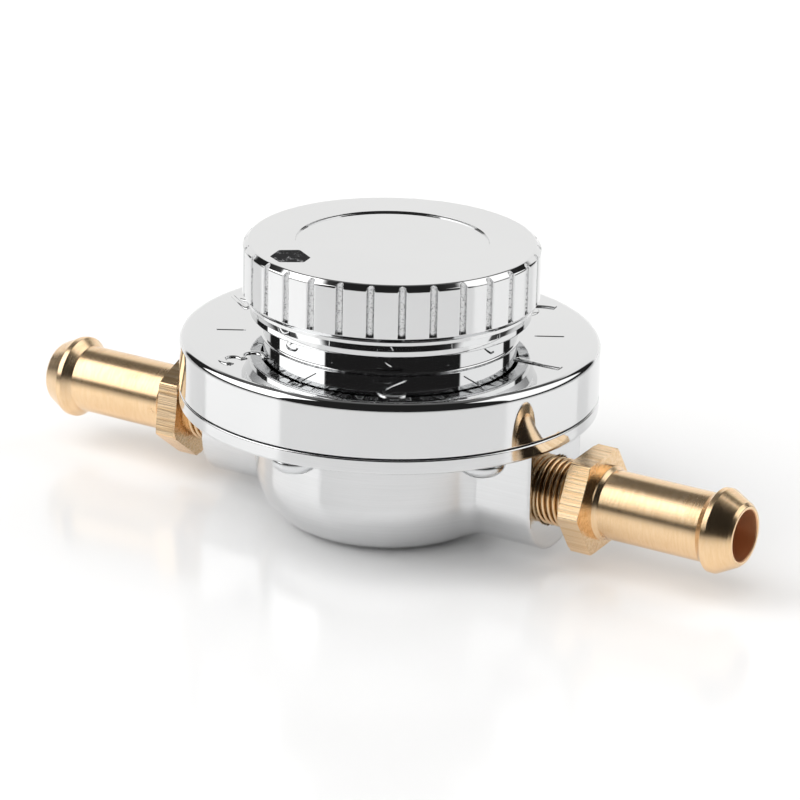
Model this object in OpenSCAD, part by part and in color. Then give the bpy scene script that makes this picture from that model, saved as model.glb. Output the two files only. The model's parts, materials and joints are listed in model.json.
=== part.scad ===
// Dial-type fuel pressure regulator with two hose barbs.
// Millimetres, +Z up. The barbs lie along X: fuel enters at -X and leaves at +X.
// Z = 0 is the flat foot of the body, and the dial turns about the Z axis.
// The dial stands at its third number: the valve is open, as it is with no fuel pressure.

/* [Housing] */
// Diameter of the cover and of the body's flange
housing_d = 63.5; // [62:0.5:72]
// Diameter of the body's bowl
bowl_d = 40; // [39:0.5:46]
// Height of the bowl, from its foot to the flange
bowl_h = 19; // [18.5:0.1:22]
// Round between the bowl's wall and its foot
bowl_round = 9; // [5:0.5:10]
// Thickness of the flange
flange_t = 1.9; // [1.6:0.1:3]
// Height of the cover's disc
cover_h = 8.1; // [7.8:0.1:10]
// Round on the cover's upper edge
cover_round = 1.3; // [0.6:0.1:2]
// Diameter of the neck that carries the dial
neck_d = 38.2; // [37.6:0.1:39.4]
// Thickness of the metal between the cover's flat top and its hollow
cover_wall = 2.5; // [1.8:0.1:3]
// Small round on the edges of the flange and the neck
edge_round = 0.4; // [0.2:0.1:0.6]
// Gap that shows at the seam between cover and flange
seam_gap = 0.2; // [0.1:0.05:0.3]

/* [Ports] */
// Height of the port axis above the foot
port_z = 11; // [10.6:0.1:11.2]
// Half the length of the body from port face to port face
port_face = 29.35; // [28.5:0.1:31]
// Width of a port boss
boss_w = 14.8; // [14.2:0.1:17]
// Drop of a boss's round bottom below the port axis
boss_drop = 9.1; // [8:0.1:9.5]
// Radius of the hollow blend between a boss and the bowl
blend_r = 1.5; // [1:0.5:4]
// Depth of a port's threaded hole
port_depth = 9.6; // [8.5:0.1:10]

/* [Dial] */
// Diameter of the dial over its panels
dial_d = 44.7; // [44.2:0.1:48]
// Height of the dial
dial_h = 11.4; // [11:0.1:13]
// Gap between the cover's top and the dial
dial_gap = 3.3; // [3:0.1:4]
// Height of the fluted band
band_h = 8.3; // [7:0.1:8.4]
// Bevel on the upper edge
dial_bevel = 0.9; // [0.4:0.1:1.2]
// Number of flutes
flutes = 30; // [24:6:36]
// Diameter of a flute's round
flute_w = 1.24; // [0.9:0.02:1.5]
// Distance that a flute's axis lies inside the band
flute_sink = 0.2; // [0:0.05:0.4]
// Height of the ledge that a flute ends on, above the band's lower edge
flute_foot = 0.35; // [0.2:0.05:0.8]
// Diameter of the shallow recess in the top
recess_d = 29; // [26:0.5:29]
// Depth of the recess
recess_h = 0.25; // [0.2:0.05:0.9]
// Thickness of the dial's roof
roof_t = 3.4; // [3:0.1:3.8]
// Turn from the resting place to the lowest setting, in degrees
turn_back = 120; // [90:30:120]
// Turn from the resting place to the highest setting, in degrees
turn_on = 180; // [150:30:180]
// Rise of the spring follower in one turn of the dial
lead = 5; // [4:0.1:5.2]

/* [Barbs] */
// Outside diameter of a barb's pipe thread
thread_d = 10.3; // [9.8:0.1:10.8]
// Length of thread that shows between the body and the hexagon
thread_show = 4.95; // [3:0.05:6]
// Hexagon across its flats
hex_af = 14.29; // [13.6:0.01:16]
// Thickness of the hexagon
hex_t = 3.5; // [3:0.1:5]
// Turn of the inlet's hexagon, in degrees
inlet_hex_turn = 30; // [0:1:59]
// Turn of the outlet's hexagon, in degrees
outlet_hex_turn = 4; // [0:1:59]
// Diameter of the hose shank
shank_d = 10.4; // [9.6:0.1:11]
// Length from the hexagon to the barb's head
shank_len = 17.95; // [14:0.05:24]
// Largest diameter of the barb's head
head_d = 12.75; // [12:0.05:14]
// Length of the barb's head
head_len = 5.5; // [5:0.1:7]
// Diameter of the bore
barb_bore_d = 7.7; // [6:0.1:8]

/* [Cover screws] */
// Number of screws
screws = 6; // [6:6:6]
// Distance from the cover's edge to the middle of a screw
screw_inset = 4.35; // [4.2:0.05:4.8]
// Diameter of a screw's thread
screw_d = 4.16; // [3.5:0.01:4.3]
// Diameter of a screw's head
screw_head_d = 7; // [6.5:0.1:7.4]
// Height of a screw's head
screw_head_h = 2.8; // [2.2:0.1:3]
// Turn of the screws and ticks against the ports, in degrees
mark_turn = 2; // [0:1:6]

/* [Diaphragm and valve] */
// Thickness of the diaphragm
diaphragm_t = 0.8; // [0.6:0.1:1]
// Travel of the diaphragm that opens and closes the valve
valve_lift = 0.8; // [0.5:0.1:0.9]
// Diameter of the upper diaphragm plate
plate_d = 27.6; // [26.8:0.1:28]
// Diameter of the hole through the valve seat
orifice_d = 4.4; // [4:0.1:4.8]
// Wire of the main spring
main_wire = 1.4; // [1.1:0.1:1.5]
// Turns of the main spring
main_turns = 3.2; // [2.6:0.1:3.3]
// Wire of the valve spring
valve_wire = 0.5; // [0.4:0.05:0.6]
// Turns of the valve spring
valve_turns = 5; // [4:0.5:6]

/* [Fits] */
// Radial clearance of a turning or sliding fit
running_gap = 0.05; // [0.02:0.01:0.08]
// Radial clearance of pressed and screwed pieces
press_gap = 0.02; // [0.01:0.01:0.04]
// Clearance of loose fits, such as screw holes
loose_gap = 0.2; // [0.1:0.05:0.25]
// Free room left at the end of a travel
air = 0.4; // [0.3:0.05:0.5]

/* [Hidden] */
$fn = 96;
eps = 0.01;
chrome = [0.82, 0.84, 0.86];
brass = [0.86, 0.70, 0.32];
steel = [0.62, 0.63, 0.65];
rubber = [0.12, 0.12, 0.13];

// Heights of the housing, from the foot up
housing_r = housing_d / 2;
bowl_r = bowl_d / 2;
flange_top = bowl_h + flange_t;
cover_z = flange_top + diaphragm_t;
cover_top = cover_z + cover_h;
neck_r = neck_d / 2;
neck_wall = 3.6;
neck_bore_r = neck_r - neck_wall;
seam_lip_w = 0.9;
seam_lip_h = (diaphragm_t - seam_gap) / 2;
seam_round = 0.25;
screw_land = 4.9;
cover_hollow_r = housing_r - screw_inset - screw_land;

// Dial, hung from its own top
dial_r = dial_d / 2;
dial_z = cover_top + dial_gap;
dial_top = dial_z + dial_h;
band_z = dial_top - band_h;
roof_z = dial_top - roof_t;
skirt_in_r = neck_r + air;
ring_step = 0.3;
ring_h = 1.1;
ring_r = dial_r - ring_step;
ring_z = band_z - ring_h;
lip_step = 1.05;
lip_r = dial_r - lip_step;
hub_r = 6;

// Pointer pocket: a six-sided lozenge between the recess and the rim
pointer_angle = 243;
pointer_room = 0.3;
pointer_in = recess_d / 2 + pointer_room;
pointer_len = 5.5;
pointer_w = 6.4;
pointer_end_w = 3;
pointer_wide_at = 0.45;
pointer_depth = 0.5;

// Bearing of the dial on the neck
shoulder_r = 9.6;
shoulder_h = 0.2;
washer_t = 0.5;
neck_top = roof_z - shoulder_h - washer_t;
neck_top_t = 5.4;
neck_floor = neck_top - neck_top_t;
clip_t = 0.8;
clip_r = 7.6;
clip_z = neck_floor - loose_gap - clip_t;
groove_r = 3.2;

// Stop: a lug under the dial runs in a slot in the neck's top
stop_r = 16.5;
stop_w = 2;
stop_depth = 2;
lug_angle = 90;
lug_half = 8;
stop_margin = 1;

// Click stop: a ball under a ring groove in the dial's roof, with a dimple at each setting
click_step = 30;
click_r = 12;
click_angle = 30;
ball_r = 1.5;
ball_rise = 0.5;
track_h = 0.65;
ball_z = roof_z + ball_rise - ball_r;
ball_hole_r = ball_r + running_gap;
ball_hole_depth = 4.4;
ball_hole_z = neck_top - ball_hole_depth;
track_gap = 0.2;
dimple_rise = 0.3;
click_wire = 0.35;
click_turns = 4;
click_room = 0.15;
click_spring_r = ball_hole_r - click_room - click_wire / 2;
click_spring_in = click_spring_r - click_wire / 2;
click_spring_top = ball_z - sqrt(ball_r * ball_r - click_spring_in * click_spring_in);

// Stem and spring follower
stem_r = 4;
stem_grip = 1.5;
stem_top = roof_z + stem_grip;
stem_bevel = 0.8;
follower_t = 2;
follower_hub_h = 2.5;
follower_hub_r = stem_r + 3;
follower_room = 1.2;
follower_r = neck_bore_r - follower_room;
follower_up = lead * turn_back / 360;
follower_down = lead * turn_on / 360;
follower_top = clip_z - air - follower_up;
follower_z = follower_top - follower_t;
follower_foot = follower_z - follower_hub_h;
key_w = 3;
key_h = 1.2;
key_r = neck_bore_r + key_h;

// Diaphragm and its plates, which hang half the lift low at rest
middle_z = flange_top - valve_lift / 2;
plate_t = 1;
plate_r = plate_d / 2;
plate_rim_h = 2.2;
plate_rim_t = 0.9;
plate_z = middle_z + diaphragm_t;
plate_top = plate_z + plate_t;
lower_plate_step = 1.3;
lower_plate_r = plate_r - lower_plate_step;
lower_plate_t = 0.8;
lower_plate_z = middle_z - lower_plate_t;
rivet_r = 2.5;
rivet_head_r = 4.2;
rivet_head_h = 1;
rivet_head_taper = 0.6;
rivet_collar_h = 0.8;
rivet_tip_r = 2;
rivet_tip_h = 2.1;
rivet_tip_z = lower_plate_z - rivet_tip_h;
rim_inset = seam_lip_w + loose_gap;
fold_room_out = 0.9;
fold_room_in = 1.2;
fold_out_r = cover_hollow_r - fold_room_out;
fold_in_r = plate_r + fold_room_in;
fold_r = (fold_out_r - fold_in_r) / 2;
fold_mid_r = (fold_out_r + fold_in_r) / 2;
fold_z = flange_top + (diaphragm_t - valve_lift / 2) / 2;
stem_foot = plate_top + rivet_head_h + valve_lift + air;
main_room = 0.3;
main_r = plate_r - plate_rim_t - main_room - main_wire / 2;

// Valve under the diaphragm's middle
foot_t = 3.5;
bowl_wall = 3;
chamber_r = bowl_r - bowl_wall;
chamber_h = 5.4;
chamber_floor = flange_top - chamber_h;
seat_r = 5;
seat_flange_r = 6.4;
seat_flange_t = 1;
seat_h = 2.8;
seat_z = chamber_floor - seat_h;
seat_lip_h = 0.5;
seat_lip_t = 0.8;
orifice_r = orifice_d / 2;
pocket_r = seat_r + press_gap;
seal_t = 1;
seal_room = 1.2;
seal_r = seat_r - seal_room;
shut_gap = 0.05;
seal_top = seat_z - seat_lip_h - valve_lift - shut_gap;
poppet_t = 0.8;
poppet_z = seal_top - seal_t - poppet_t;
poppet_stem_r = 1.1;
tip_gap = 0.1;
poppet_top = rivet_tip_z - tip_gap;
poppet_tail_r = 1.5;
poppet_tail_h = 2.4;
valve_spring_r = 2.7;

// Passages in the body
inlet_hole_r = 2;
outlet_hole_r = 2.6;
outlet_x = 12;
thread_r = thread_d / 2;
port_r = thread_r + running_gap;
port_floor = port_face - port_depth;

// Barb, along X from the body's middle
barb_end_gap = 0.6;
barb_start = port_floor + barb_end_gap;
thread_bevel = 0.8;
hex_x = port_face + thread_show;
shank_x = hex_x + hex_t;
collar_len = 1.3;
collar_step = 0.45;
collar_r = shank_d / 2 + collar_step;
collar_slope = 0.3;
head_x = shank_x + shank_len;
head_step = 1.25;
head_land = 0.8;
tip_x = head_x + head_len;
tip_step = 1.5;
tip_r = head_d / 2 - tip_step;
tip_round = 0.5;
hex_bevel = 0.4;

// Raised ticks on the cover, halfway between the numbers
tick_room_in = 2.6;
tick_room_out = 5.5;
tick_in = neck_r + tick_room_in;
tick_out = housing_r - tick_room_out;
tick_w = 0.4;
tick_h = 0.15;

// Vent of the spring's room, hidden under the dial
vent_r = 0.6;
vent_rise = 0.9;
vent_angle = 200;

// Screws
screw_r = screw_d / 2;
screw_pitch_r = housing_r - screw_inset;
screw_grip = 5.4;
screw_top = cover_z + screw_grip;
screw_hole_spare = 0.6;
slot_len = 4;
slot_w = 0.8;
slot_depth = 1.4;
slot_turn = 20;
screw_first = 30 + mark_turn;
screw_step = 360 / screws;

// Shapes that several pieces share

// Area outside a convex corner at (x, y); the metal lies towards (-sx, -sy)
module corner_off(x, y, r, sx, sy) {
    translate([x - sx * r, y - sy * r])
        difference() {
            translate([sx > 0 ? 0 : -r - eps, sy > 0 ? 0 : -r - eps])
                square(r + eps);
            circle(r);
        }
}

// Area that fills a hollow corner at (x, y); the open side lies towards (sx, sy)
module corner_fill(x, y, r, sx, sy) {
    translate([x, y])
        difference() {
            translate([sx > 0 ? -eps : -r, sy > 0 ? -eps : -r])
                square(r + eps);
            translate([sx * r, sy * r])
                circle(r);
        }
}

// Ring of rectangular section
module ring(r_in, r_out, z, h) {
    translate([0, 0, z])
        difference() {
            cylinder(r = r_out, h = h);
            translate([0, 0, -eps])
                cylinder(r = r_in, h = h + 2 * eps);
        }
}

// Round hole or bar along X from x0 to x1, on the port axis
module along_x(r, x0, x1) {
    translate([x0, 0, port_z])
        rotate([0, 90, 0])
            cylinder(r = r, h = x1 - x0);
}

// Height along a coil whose first and last three quarters of a turn lie flat
function coil_rise(t, turns) =
    let (flat = 0.75, active = turns - 2 * flat)
    min(1, max(0, (t * turns - flat) / active));

// Coil spring between two flat faces, as one swept wire
module coil(r, wire, z0, z1, turns, steps, sides) {
    n = ceil(turns * steps);
    rise = z1 - z0 - wire;
    ends_gap = wire * 0.06;
    points = [
        for (i = [0 : n], k = [0 : sides - 1])
            let (
                a = 360 * turns * i / n,
                b = 360 * k / sides,
                pitch_up = ends_gap * i / n,
                z = z0 + wire / 2 + (rise - ends_gap) * coil_rise(i / n, turns) + pitch_up,
                q = r + wire / 2 * cos(b)
            )
            [q * cos(a), q * sin(a), z + wire / 2 * sin(b)]
    ];
    skin = [
        for (i = [0 : n - 1], k = [0 : sides - 1])
            let (m = (k + 1) % sides)
            [i * sides + k, i * sides + m, (i + 1) * sides + m, (i + 1) * sides + k]
    ];
    first = [for (k = [sides - 1 : -1 : 0]) k];
    last = [for (k = [0 : sides - 1]) n * sides + k];
    polyhedron(points = points, faces = concat(skin, [first, last]), convexity = 8);
}

// The dial and what turns with it

module dial_section() {
    polygon([
        [0, roof_z],
        [skirt_in_r, roof_z],
        [skirt_in_r, dial_z],
        [lip_r - edge_round, dial_z],
        [lip_r, dial_z + edge_round],
        [lip_r, ring_z - (ring_r - lip_r) / 2],
        [ring_r, ring_z],
        [ring_r, band_z],
        [dial_r, band_z],
        [dial_r, dial_top - dial_bevel],
        [dial_r - dial_bevel, dial_top],
        [recess_d / 2, dial_top],
        [recess_d / 2, dial_top - recess_h],
        [0, dial_top - recess_h]
    ]);
}

module pointer_shape() {
    wide = pointer_in + pointer_len * pointer_wide_at;
    out = pointer_in + pointer_len;
    polygon([
        [pointer_in, -pointer_end_w / 2],
        [wide, -pointer_w / 2],
        [out, -pointer_end_w / 2],
        [out, pointer_end_w / 2],
        [wide, pointer_w / 2],
        [pointer_in, pointer_end_w / 2]
    ]);
}

module dial_knob() {
    color(chrome)
        difference() {
            union() {
                rotate_extrude()
                    dial_section();
                ring(stem_r, shoulder_r, roof_z - shoulder_h, shoulder_h + eps);
                translate([0, 0, neck_floor + loose_gap])
                    cylinder(r = hub_r, h = roof_z - neck_floor);
                rotate([0, 0, lug_angle - lug_half])
                    rotate_extrude(angle = 2 * lug_half)
                        translate([stop_r - stop_w / 2, neck_top - stop_depth + air])
                            square([stop_w, roof_z - neck_top + stop_depth]);
            }
            for (i = [0 : flutes - 1])
                rotate([0, 0, (i + 0.5) * 360 / flutes])
                    translate([dial_r - flute_sink, 0, band_z + flute_foot])
                        cylinder(r = flute_w / 2, h = band_h);
            rotate([0, 0, pointer_angle])
                translate([0, 0, dial_top - pointer_depth])
                    linear_extrude(pointer_depth + 1)
                        pointer_shape();
            ring(click_r - ball_r - track_gap, click_r + ball_r + track_gap, roof_z - eps, track_h + eps);
            for (a = [-turn_back : click_step : turn_on])
                rotate([0, 0, click_angle + a])
                    translate([click_r, 0, roof_z + track_h + dimple_rise - ball_r])
                        sphere(r = ball_r);
            translate([0, 0, neck_floor])
                cylinder(r = stem_r + press_gap, h = stem_top - neck_floor + press_gap);
        }
}

module adjusting_stem() {
    color(steel)
        rotate_extrude()
            polygon([
                [0, stem_foot],
                [stem_r - stem_bevel, stem_foot],
                [stem_r, stem_foot + stem_bevel],
                [stem_r, clip_z],
                [groove_r, clip_z],
                [groove_r, clip_z + clip_t + press_gap],
                [stem_r, clip_z + clip_t + press_gap],
                [stem_r, stem_top],
                [0, stem_top]
            ]);
}

module thrust_washer() {
    color(steel)
        ring(hub_r + loose_gap, shoulder_r, neck_top, washer_t);
}

// Open ring that snaps into the stem's groove
module stem_clip() {
    color(steel)
        difference() {
            ring(groove_r + press_gap, clip_r, clip_z, clip_t);
            translate([0, -groove_r * 0.8, clip_z - 1])
                cube([clip_r + 1, groove_r * 1.6, clip_t + 2]);
        }
}

module click_ball() {
    color(steel)
        rotate([0, 0, click_angle])
            translate([click_r, 0, ball_z])
                sphere(r = ball_r);
}

module click_spring() {
    color(steel)
        rotate([0, 0, click_angle])
            translate([click_r, 0, 0])
                coil(click_spring_r, click_wire, ball_hole_z, click_spring_top, click_turns, 14, 6);
}

// The cover and the spring under it

// Section of the lip at the rim that hides the diaphragm's edge, from z upwards
module seam_lip(z) {
    translate([housing_r - seam_lip_w, z])
        square([seam_lip_w, seam_lip_h + eps]);
}

module cover_section() {
    difference() {
        union() {
            difference() {
                union() {
                    translate([0, cover_z])
                        square([housing_r, cover_h]);
                    seam_lip(cover_z - seam_lip_h);
                }
                corner_off(housing_r, cover_top, cover_round, 1, 1);
                corner_off(housing_r, cover_z - seam_lip_h, seam_round, 1, -1);
            }
            difference() {
                translate([0, cover_top - eps])
                    square([neck_r, neck_top - cover_top + eps]);
                corner_off(neck_r, neck_top, edge_round, 1, 1);
            }
            corner_fill(neck_r, cover_top, edge_round, 1, 1);
        }
        translate([-1, cover_z - 1])
            square([cover_hollow_r + 1, cover_h - cover_wall + 1]);
        translate([-1, cover_z - 1])
            square([neck_bore_r + 1, neck_floor - cover_z + 1]);
        translate([-1, neck_floor - 1])
            square([hub_r + running_gap + 1, neck_top - neck_floor + 2]);
    }
}

module cover() {
    slot_back = turn_back + lug_half + stop_margin;
    slot_sweep = turn_back + turn_on + 2 * (lug_half + stop_margin);
    color(chrome) {
        difference() {
            rotate_extrude()
                cover_section();
            rotate([0, 0, lug_angle + slot_back - slot_sweep])
                rotate_extrude(angle = slot_sweep)
                    translate([stop_r - stop_w / 2 - loose_gap, neck_top - stop_depth])
                        square([stop_w + 2 * loose_gap, stop_depth + 1]);
            rotate([0, 0, click_angle])
                translate([click_r, 0, ball_hole_z])
                    cylinder(r = ball_hole_r, h = 10);
            translate([-key_w / 2 - loose_gap, 0, cover_z])
                cube([key_w + 2 * loose_gap, key_r + loose_gap, neck_floor - cover_z]);
            rotate([0, 0, vent_angle])
                translate([neck_bore_r - 1, 0, dial_z + vent_rise])
                    rotate([0, 90, 0])
                        cylinder(r = vent_r, h = neck_wall + 2);
            for (i = [0 : screws - 1])
                rotate([0, 0, screw_first + i * screw_step])
                    translate([screw_pitch_r, 0, cover_z - 1])
                        cylinder(r = screw_r + press_gap, h = screw_grip + screw_hole_spare + 1);
        }
        for (i = [0 : screws - 1])
            rotate([0, 0, screw_first + i * screw_step])
                translate([tick_in, -tick_w / 2, cover_top - eps])
                    cube([tick_out - tick_in, tick_w, tick_h + eps]);
    }
}

// Nut that a key holds from turning; it pushes the main spring down
module spring_follower() {
    color(brass)
        difference() {
            union() {
                translate([0, 0, follower_z])
                    cylinder(r = follower_r, h = follower_t);
                translate([0, 0, follower_foot])
                    cylinder(r = follower_hub_r, h = follower_hub_h + eps);
                translate([-key_w / 2, 0, follower_z])
                    cube([key_w, key_r, follower_t]);
            }
            translate([0, 0, follower_foot - 1])
                cylinder(r = stem_r + running_gap, h = follower_hub_h + follower_t + 2);
        }
}

module main_spring() {
    color(steel)
        coil(main_r, main_wire, plate_top, follower_z, main_turns, 28, 10);
}

// The diaphragm and the pieces riveted to it

module diaphragm() {
    color(rubber)
        difference() {
            rotate_extrude() {
                translate([fold_out_r - diaphragm_t / 2, flange_top])
                    square([housing_r - rim_inset - fold_out_r + diaphragm_t / 2, diaphragm_t]);
                translate([rivet_r + press_gap, middle_z])
                    square([fold_in_r + diaphragm_t / 2 - rivet_r - press_gap, diaphragm_t]);
                intersection() {
                    translate([fold_mid_r, fold_z])
                        difference() {
                            circle(fold_r + diaphragm_t / 2);
                            circle(fold_r - diaphragm_t / 2);
                        }
                    translate([0, fold_z])
                        square([housing_r, housing_r]);
                }
            }
            for (i = [0 : screws - 1])
                rotate([0, 0, screw_first + i * screw_step])
                    translate([screw_pitch_r, 0, flange_top - 1])
                        cylinder(r = screw_r + loose_gap, h = diaphragm_t + 2);
        }
}

module upper_plate() {
    color(steel) {
        ring(rivet_r + press_gap, plate_r, plate_z, plate_t);
        ring(plate_r - plate_rim_t, plate_r, plate_top - eps, plate_rim_h);
    }
}

module lower_plate() {
    color(steel)
        ring(rivet_r + press_gap, lower_plate_r, lower_plate_z, lower_plate_t);
}

module diaphragm_rivet() {
    color(brass) {
        translate([0, 0, lower_plate_z - eps])
            cylinder(r = rivet_r, h = plate_top - lower_plate_z + 2 * eps);
        translate([0, 0, plate_top])
            cylinder(r1 = rivet_head_r, r2 = rivet_head_r - rivet_head_taper, h = rivet_head_h);
        translate([0, 0, lower_plate_z - rivet_collar_h])
            cylinder(r = rivet_head_r, h = rivet_collar_h);
        translate([0, 0, rivet_tip_z])
            cylinder(r = rivet_tip_r, h = lower_plate_z - rivet_tip_z);
    }
}

// The valve

module valve_seat() {
    color(brass)
        difference() {
            union() {
                translate([0, 0, seat_z])
                    cylinder(r = seat_r, h = chamber_floor - seat_z + eps);
                translate([0, 0, chamber_floor])
                    cylinder(r = seat_flange_r, h = seat_flange_t);
                translate([0, 0, seat_z - seat_lip_h])
                    cylinder(r = orifice_r + seat_lip_t, h = seat_lip_h + eps);
            }
            translate([0, 0, seat_z - seat_lip_h - 1])
                cylinder(r = orifice_r, h = 10);
        }
}

module valve_poppet() {
    color(brass) {
        translate([0, 0, poppet_z])
            cylinder(r = seal_r, h = poppet_t);
        translate([0, 0, poppet_z + poppet_t - eps])
            cylinder(r = poppet_stem_r, h = poppet_top - poppet_z - poppet_t + eps);
        translate([0, 0, poppet_z - poppet_tail_h])
            cylinder(r = poppet_tail_r, h = poppet_tail_h + eps);
    }
}

module poppet_seal() {
    color(rubber)
        ring(poppet_stem_r + press_gap, seal_r, poppet_z + poppet_t, seal_t);
}

module valve_spring() {
    color(steel)
        coil(valve_spring_r, valve_wire, foot_t, poppet_z, valve_turns, 18, 6);
}

// The body casting: flange, bowl and two port bosses

module bowl_section() {
    difference() {
        union() {
            difference() {
                square([bowl_r, bowl_h + eps]);
                corner_off(bowl_r, 0, bowl_round, 1, -1);
            }
            difference() {
                union() {
                    translate([0, bowl_h])
                        square([housing_r, flange_t]);
                    seam_lip(flange_top - eps);
                }
                corner_off(housing_r, flange_top + seam_lip_h, seam_round, 1, 1);
                corner_off(housing_r, bowl_h, edge_round, 1, -1);
            }
            corner_fill(bowl_r, bowl_h, edge_round, 1, -1);
        }
        translate([-1, chamber_floor])
            square([chamber_r + 1, bowl_h]);
        translate([-1, foot_t])
            square([pocket_r + 1, bowl_h]);
    }
}

// Bosses with upright sides and a round bottom, through the bowl from end to end
module bosses() {
    w = boss_w / 2;
    round_z = port_z - boss_drop + w;
    intersection() {
        rotate([90, 0, 90])
            translate([0, 0, -port_face])
                linear_extrude(2 * port_face) {
                    translate([0, round_z])
                        circle(w);
                    translate([-w, round_z])
                        square([boss_w, bowl_h - round_z + eps]);
                }
        difference() {
            cylinder(r = housing_r + 5, h = bowl_h + 1);
            translate([0, 0, chamber_floor])
                cylinder(r = chamber_r, h = bowl_h);
            translate([0, 0, foot_t])
                cylinder(r = pocket_r, h = bowl_h);
        }
    }
}

// Hollow blends along the upright corners between the bowl and the bosses
module boss_blends() {
    w = boss_w / 2;
    round_z = port_z - boss_drop + w;
    far = bowl_r + blend_r;
    blend_x = sqrt(far * far - (w + blend_r) * (w + blend_r));
    touch = [blend_x * bowl_r / far, (w + blend_r) * bowl_r / far];
    for (sx = [0, 1], sy = [0, 1])
        mirror([sx, 0, 0])
            mirror([0, sy, 0])
                translate([0, 0, round_z])
                    linear_extrude(bowl_h - round_z + eps)
                        difference() {
                            polygon([
                                [blend_x, w],
                                [blend_x, w + blend_r],
                                touch,
                                [touch[0] - 1.5, w + 0.2],
                                [touch[0] - 1.5, w - 1]
                            ]);
                            translate([blend_x, w + blend_r])
                                circle(blend_r);
                        }
}

module body() {
    color(chrome)
        difference() {
            union() {
                rotate_extrude()
                    bowl_section();
                bosses();
                boss_blends();
            }
            along_x(port_r, -port_face - 1, -port_floor);
            along_x(inlet_hole_r, -port_floor - 1, 0);
            along_x(port_r, port_floor, port_face + 1);
            along_x(outlet_hole_r, outlet_x, port_floor + 1);
            translate([outlet_x, 0, port_z])
                cylinder(r = outlet_hole_r, h = chamber_floor - port_z + 1);
            translate([outlet_x, 0, port_z])
                sphere(r = outlet_hole_r);
            for (i = [0 : screws - 1])
                rotate([0, 0, screw_first + i * screw_step])
                    translate([screw_pitch_r, 0, bowl_h - 1])
                        cylinder(r = screw_r + loose_gap, h = flange_t + 2);
        }
}

// The hose barbs, each turned from hexagon bar

module barb_section() {
    polygon([
        [0, barb_start],
        [thread_r - thread_bevel, barb_start],
        [thread_r, barb_start + thread_bevel],
        [thread_r, hex_x + eps],
        [collar_r, hex_x + eps],
        [collar_r, shank_x + collar_len - collar_slope],
        [shank_d / 2, shank_x + collar_len + collar_slope],
        [shank_d / 2, head_x],
        [head_d / 2, head_x + head_step],
        [head_d / 2, head_x + head_step + head_land],
        [tip_r, tip_x - tip_round],
        [tip_r - tip_round, tip_x],
        [0, tip_x]
    ]);
}

// Hexagon with its corners turned off on both faces
module barb_hex() {
    corner_r = hex_af / sqrt(3);
    intersection() {
        translate([0, 0, hex_x])
            cylinder(r = corner_r, h = hex_t, $fn = 6);
        rotate_extrude()
            polygon([
                [0, hex_x],
                [corner_r - hex_bevel, hex_x],
                [corner_r, hex_x + hex_bevel * 0.6],
                [corner_r, shank_x - hex_bevel * 0.3],
                [corner_r - hex_bevel / 2, shank_x],
                [0, shank_x]
            ]);
    }
}

module barb(hex_turn) {
    color(brass)
        translate([0, 0, port_z])
            rotate([0, 90, 0])
                difference() {
                    union() {
                        rotate_extrude()
                            barb_section();
                        rotate([0, 0, 90 + hex_turn])
                            barb_hex();
                    }
                    translate([0, 0, barb_start - 1])
                        cylinder(d = barb_bore_d, h = tip_x);
                }
}

module inlet_barb() {
    mirror([1, 0, 0])
        barb(inlet_hex_turn);
}

module outlet_barb() {
    barb(outlet_hex_turn);
}

// Domed screws, put in from below, with a cross slot in each head
module cover_screws() {
    head_r = screw_head_d / 2;
    rim_h = screw_head_h * 0.4;
    dome_h = screw_head_h - rim_h;
    dome_r = (head_r * head_r + dome_h * dome_h) / (2 * dome_h);
    color(steel)
        for (i = [0 : screws - 1])
            rotate([0, 0, screw_first + i * screw_step])
                translate([screw_pitch_r, 0, 0])
                    difference() {
                        rotate_extrude() {
                            translate([0, bowl_h - eps])
                                square([screw_r, screw_top - bowl_h]);
                            translate([0, bowl_h - rim_h])
                                square([head_r, rim_h]);
                            intersection() {
                                translate([0, bowl_h - screw_head_h + dome_r])
                                    circle(dome_r);
                                translate([0, bowl_h - screw_head_h])
                                    square([head_r, dome_h + eps]);
                            }
                        }
                        for (a = [0, 90])
                            rotate([0, 0, slot_turn + a])
                                translate([-slot_len / 2, -slot_w / 2, bowl_h - screw_head_h - 1])
                                    cube([slot_len, slot_w, slot_depth + 1]);
                    }
}

dial_knob();
adjusting_stem();
thrust_washer();
stem_clip();
click_ball();
click_spring();
cover();
spring_follower();
main_spring();
diaphragm();
upper_plate();
lower_plate();
diaphragm_rivet();
valve_seat();
valve_poppet();
poppet_seal();
valve_spring();
body();
inlet_barb();
outlet_barb();
cover_screws();
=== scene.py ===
# %% [markdown]
# # A dial fuel pressure regulator
# The real object is a chromed housing about 64 mm across. A fluted dial turns on its neck, and a brass
# hose barb stands out on each side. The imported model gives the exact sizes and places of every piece.
# This lesson dresses it: mirror plating shows each facet of a coarse mesh, so the plated pieces are made
# again here as fine meshes that carry the exact direction of the real surface at every corner.

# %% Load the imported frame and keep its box
import json
import math

import bmesh
import bpy
import numpy as np
from mathutils import Matrix, Vector, geometry

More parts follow.
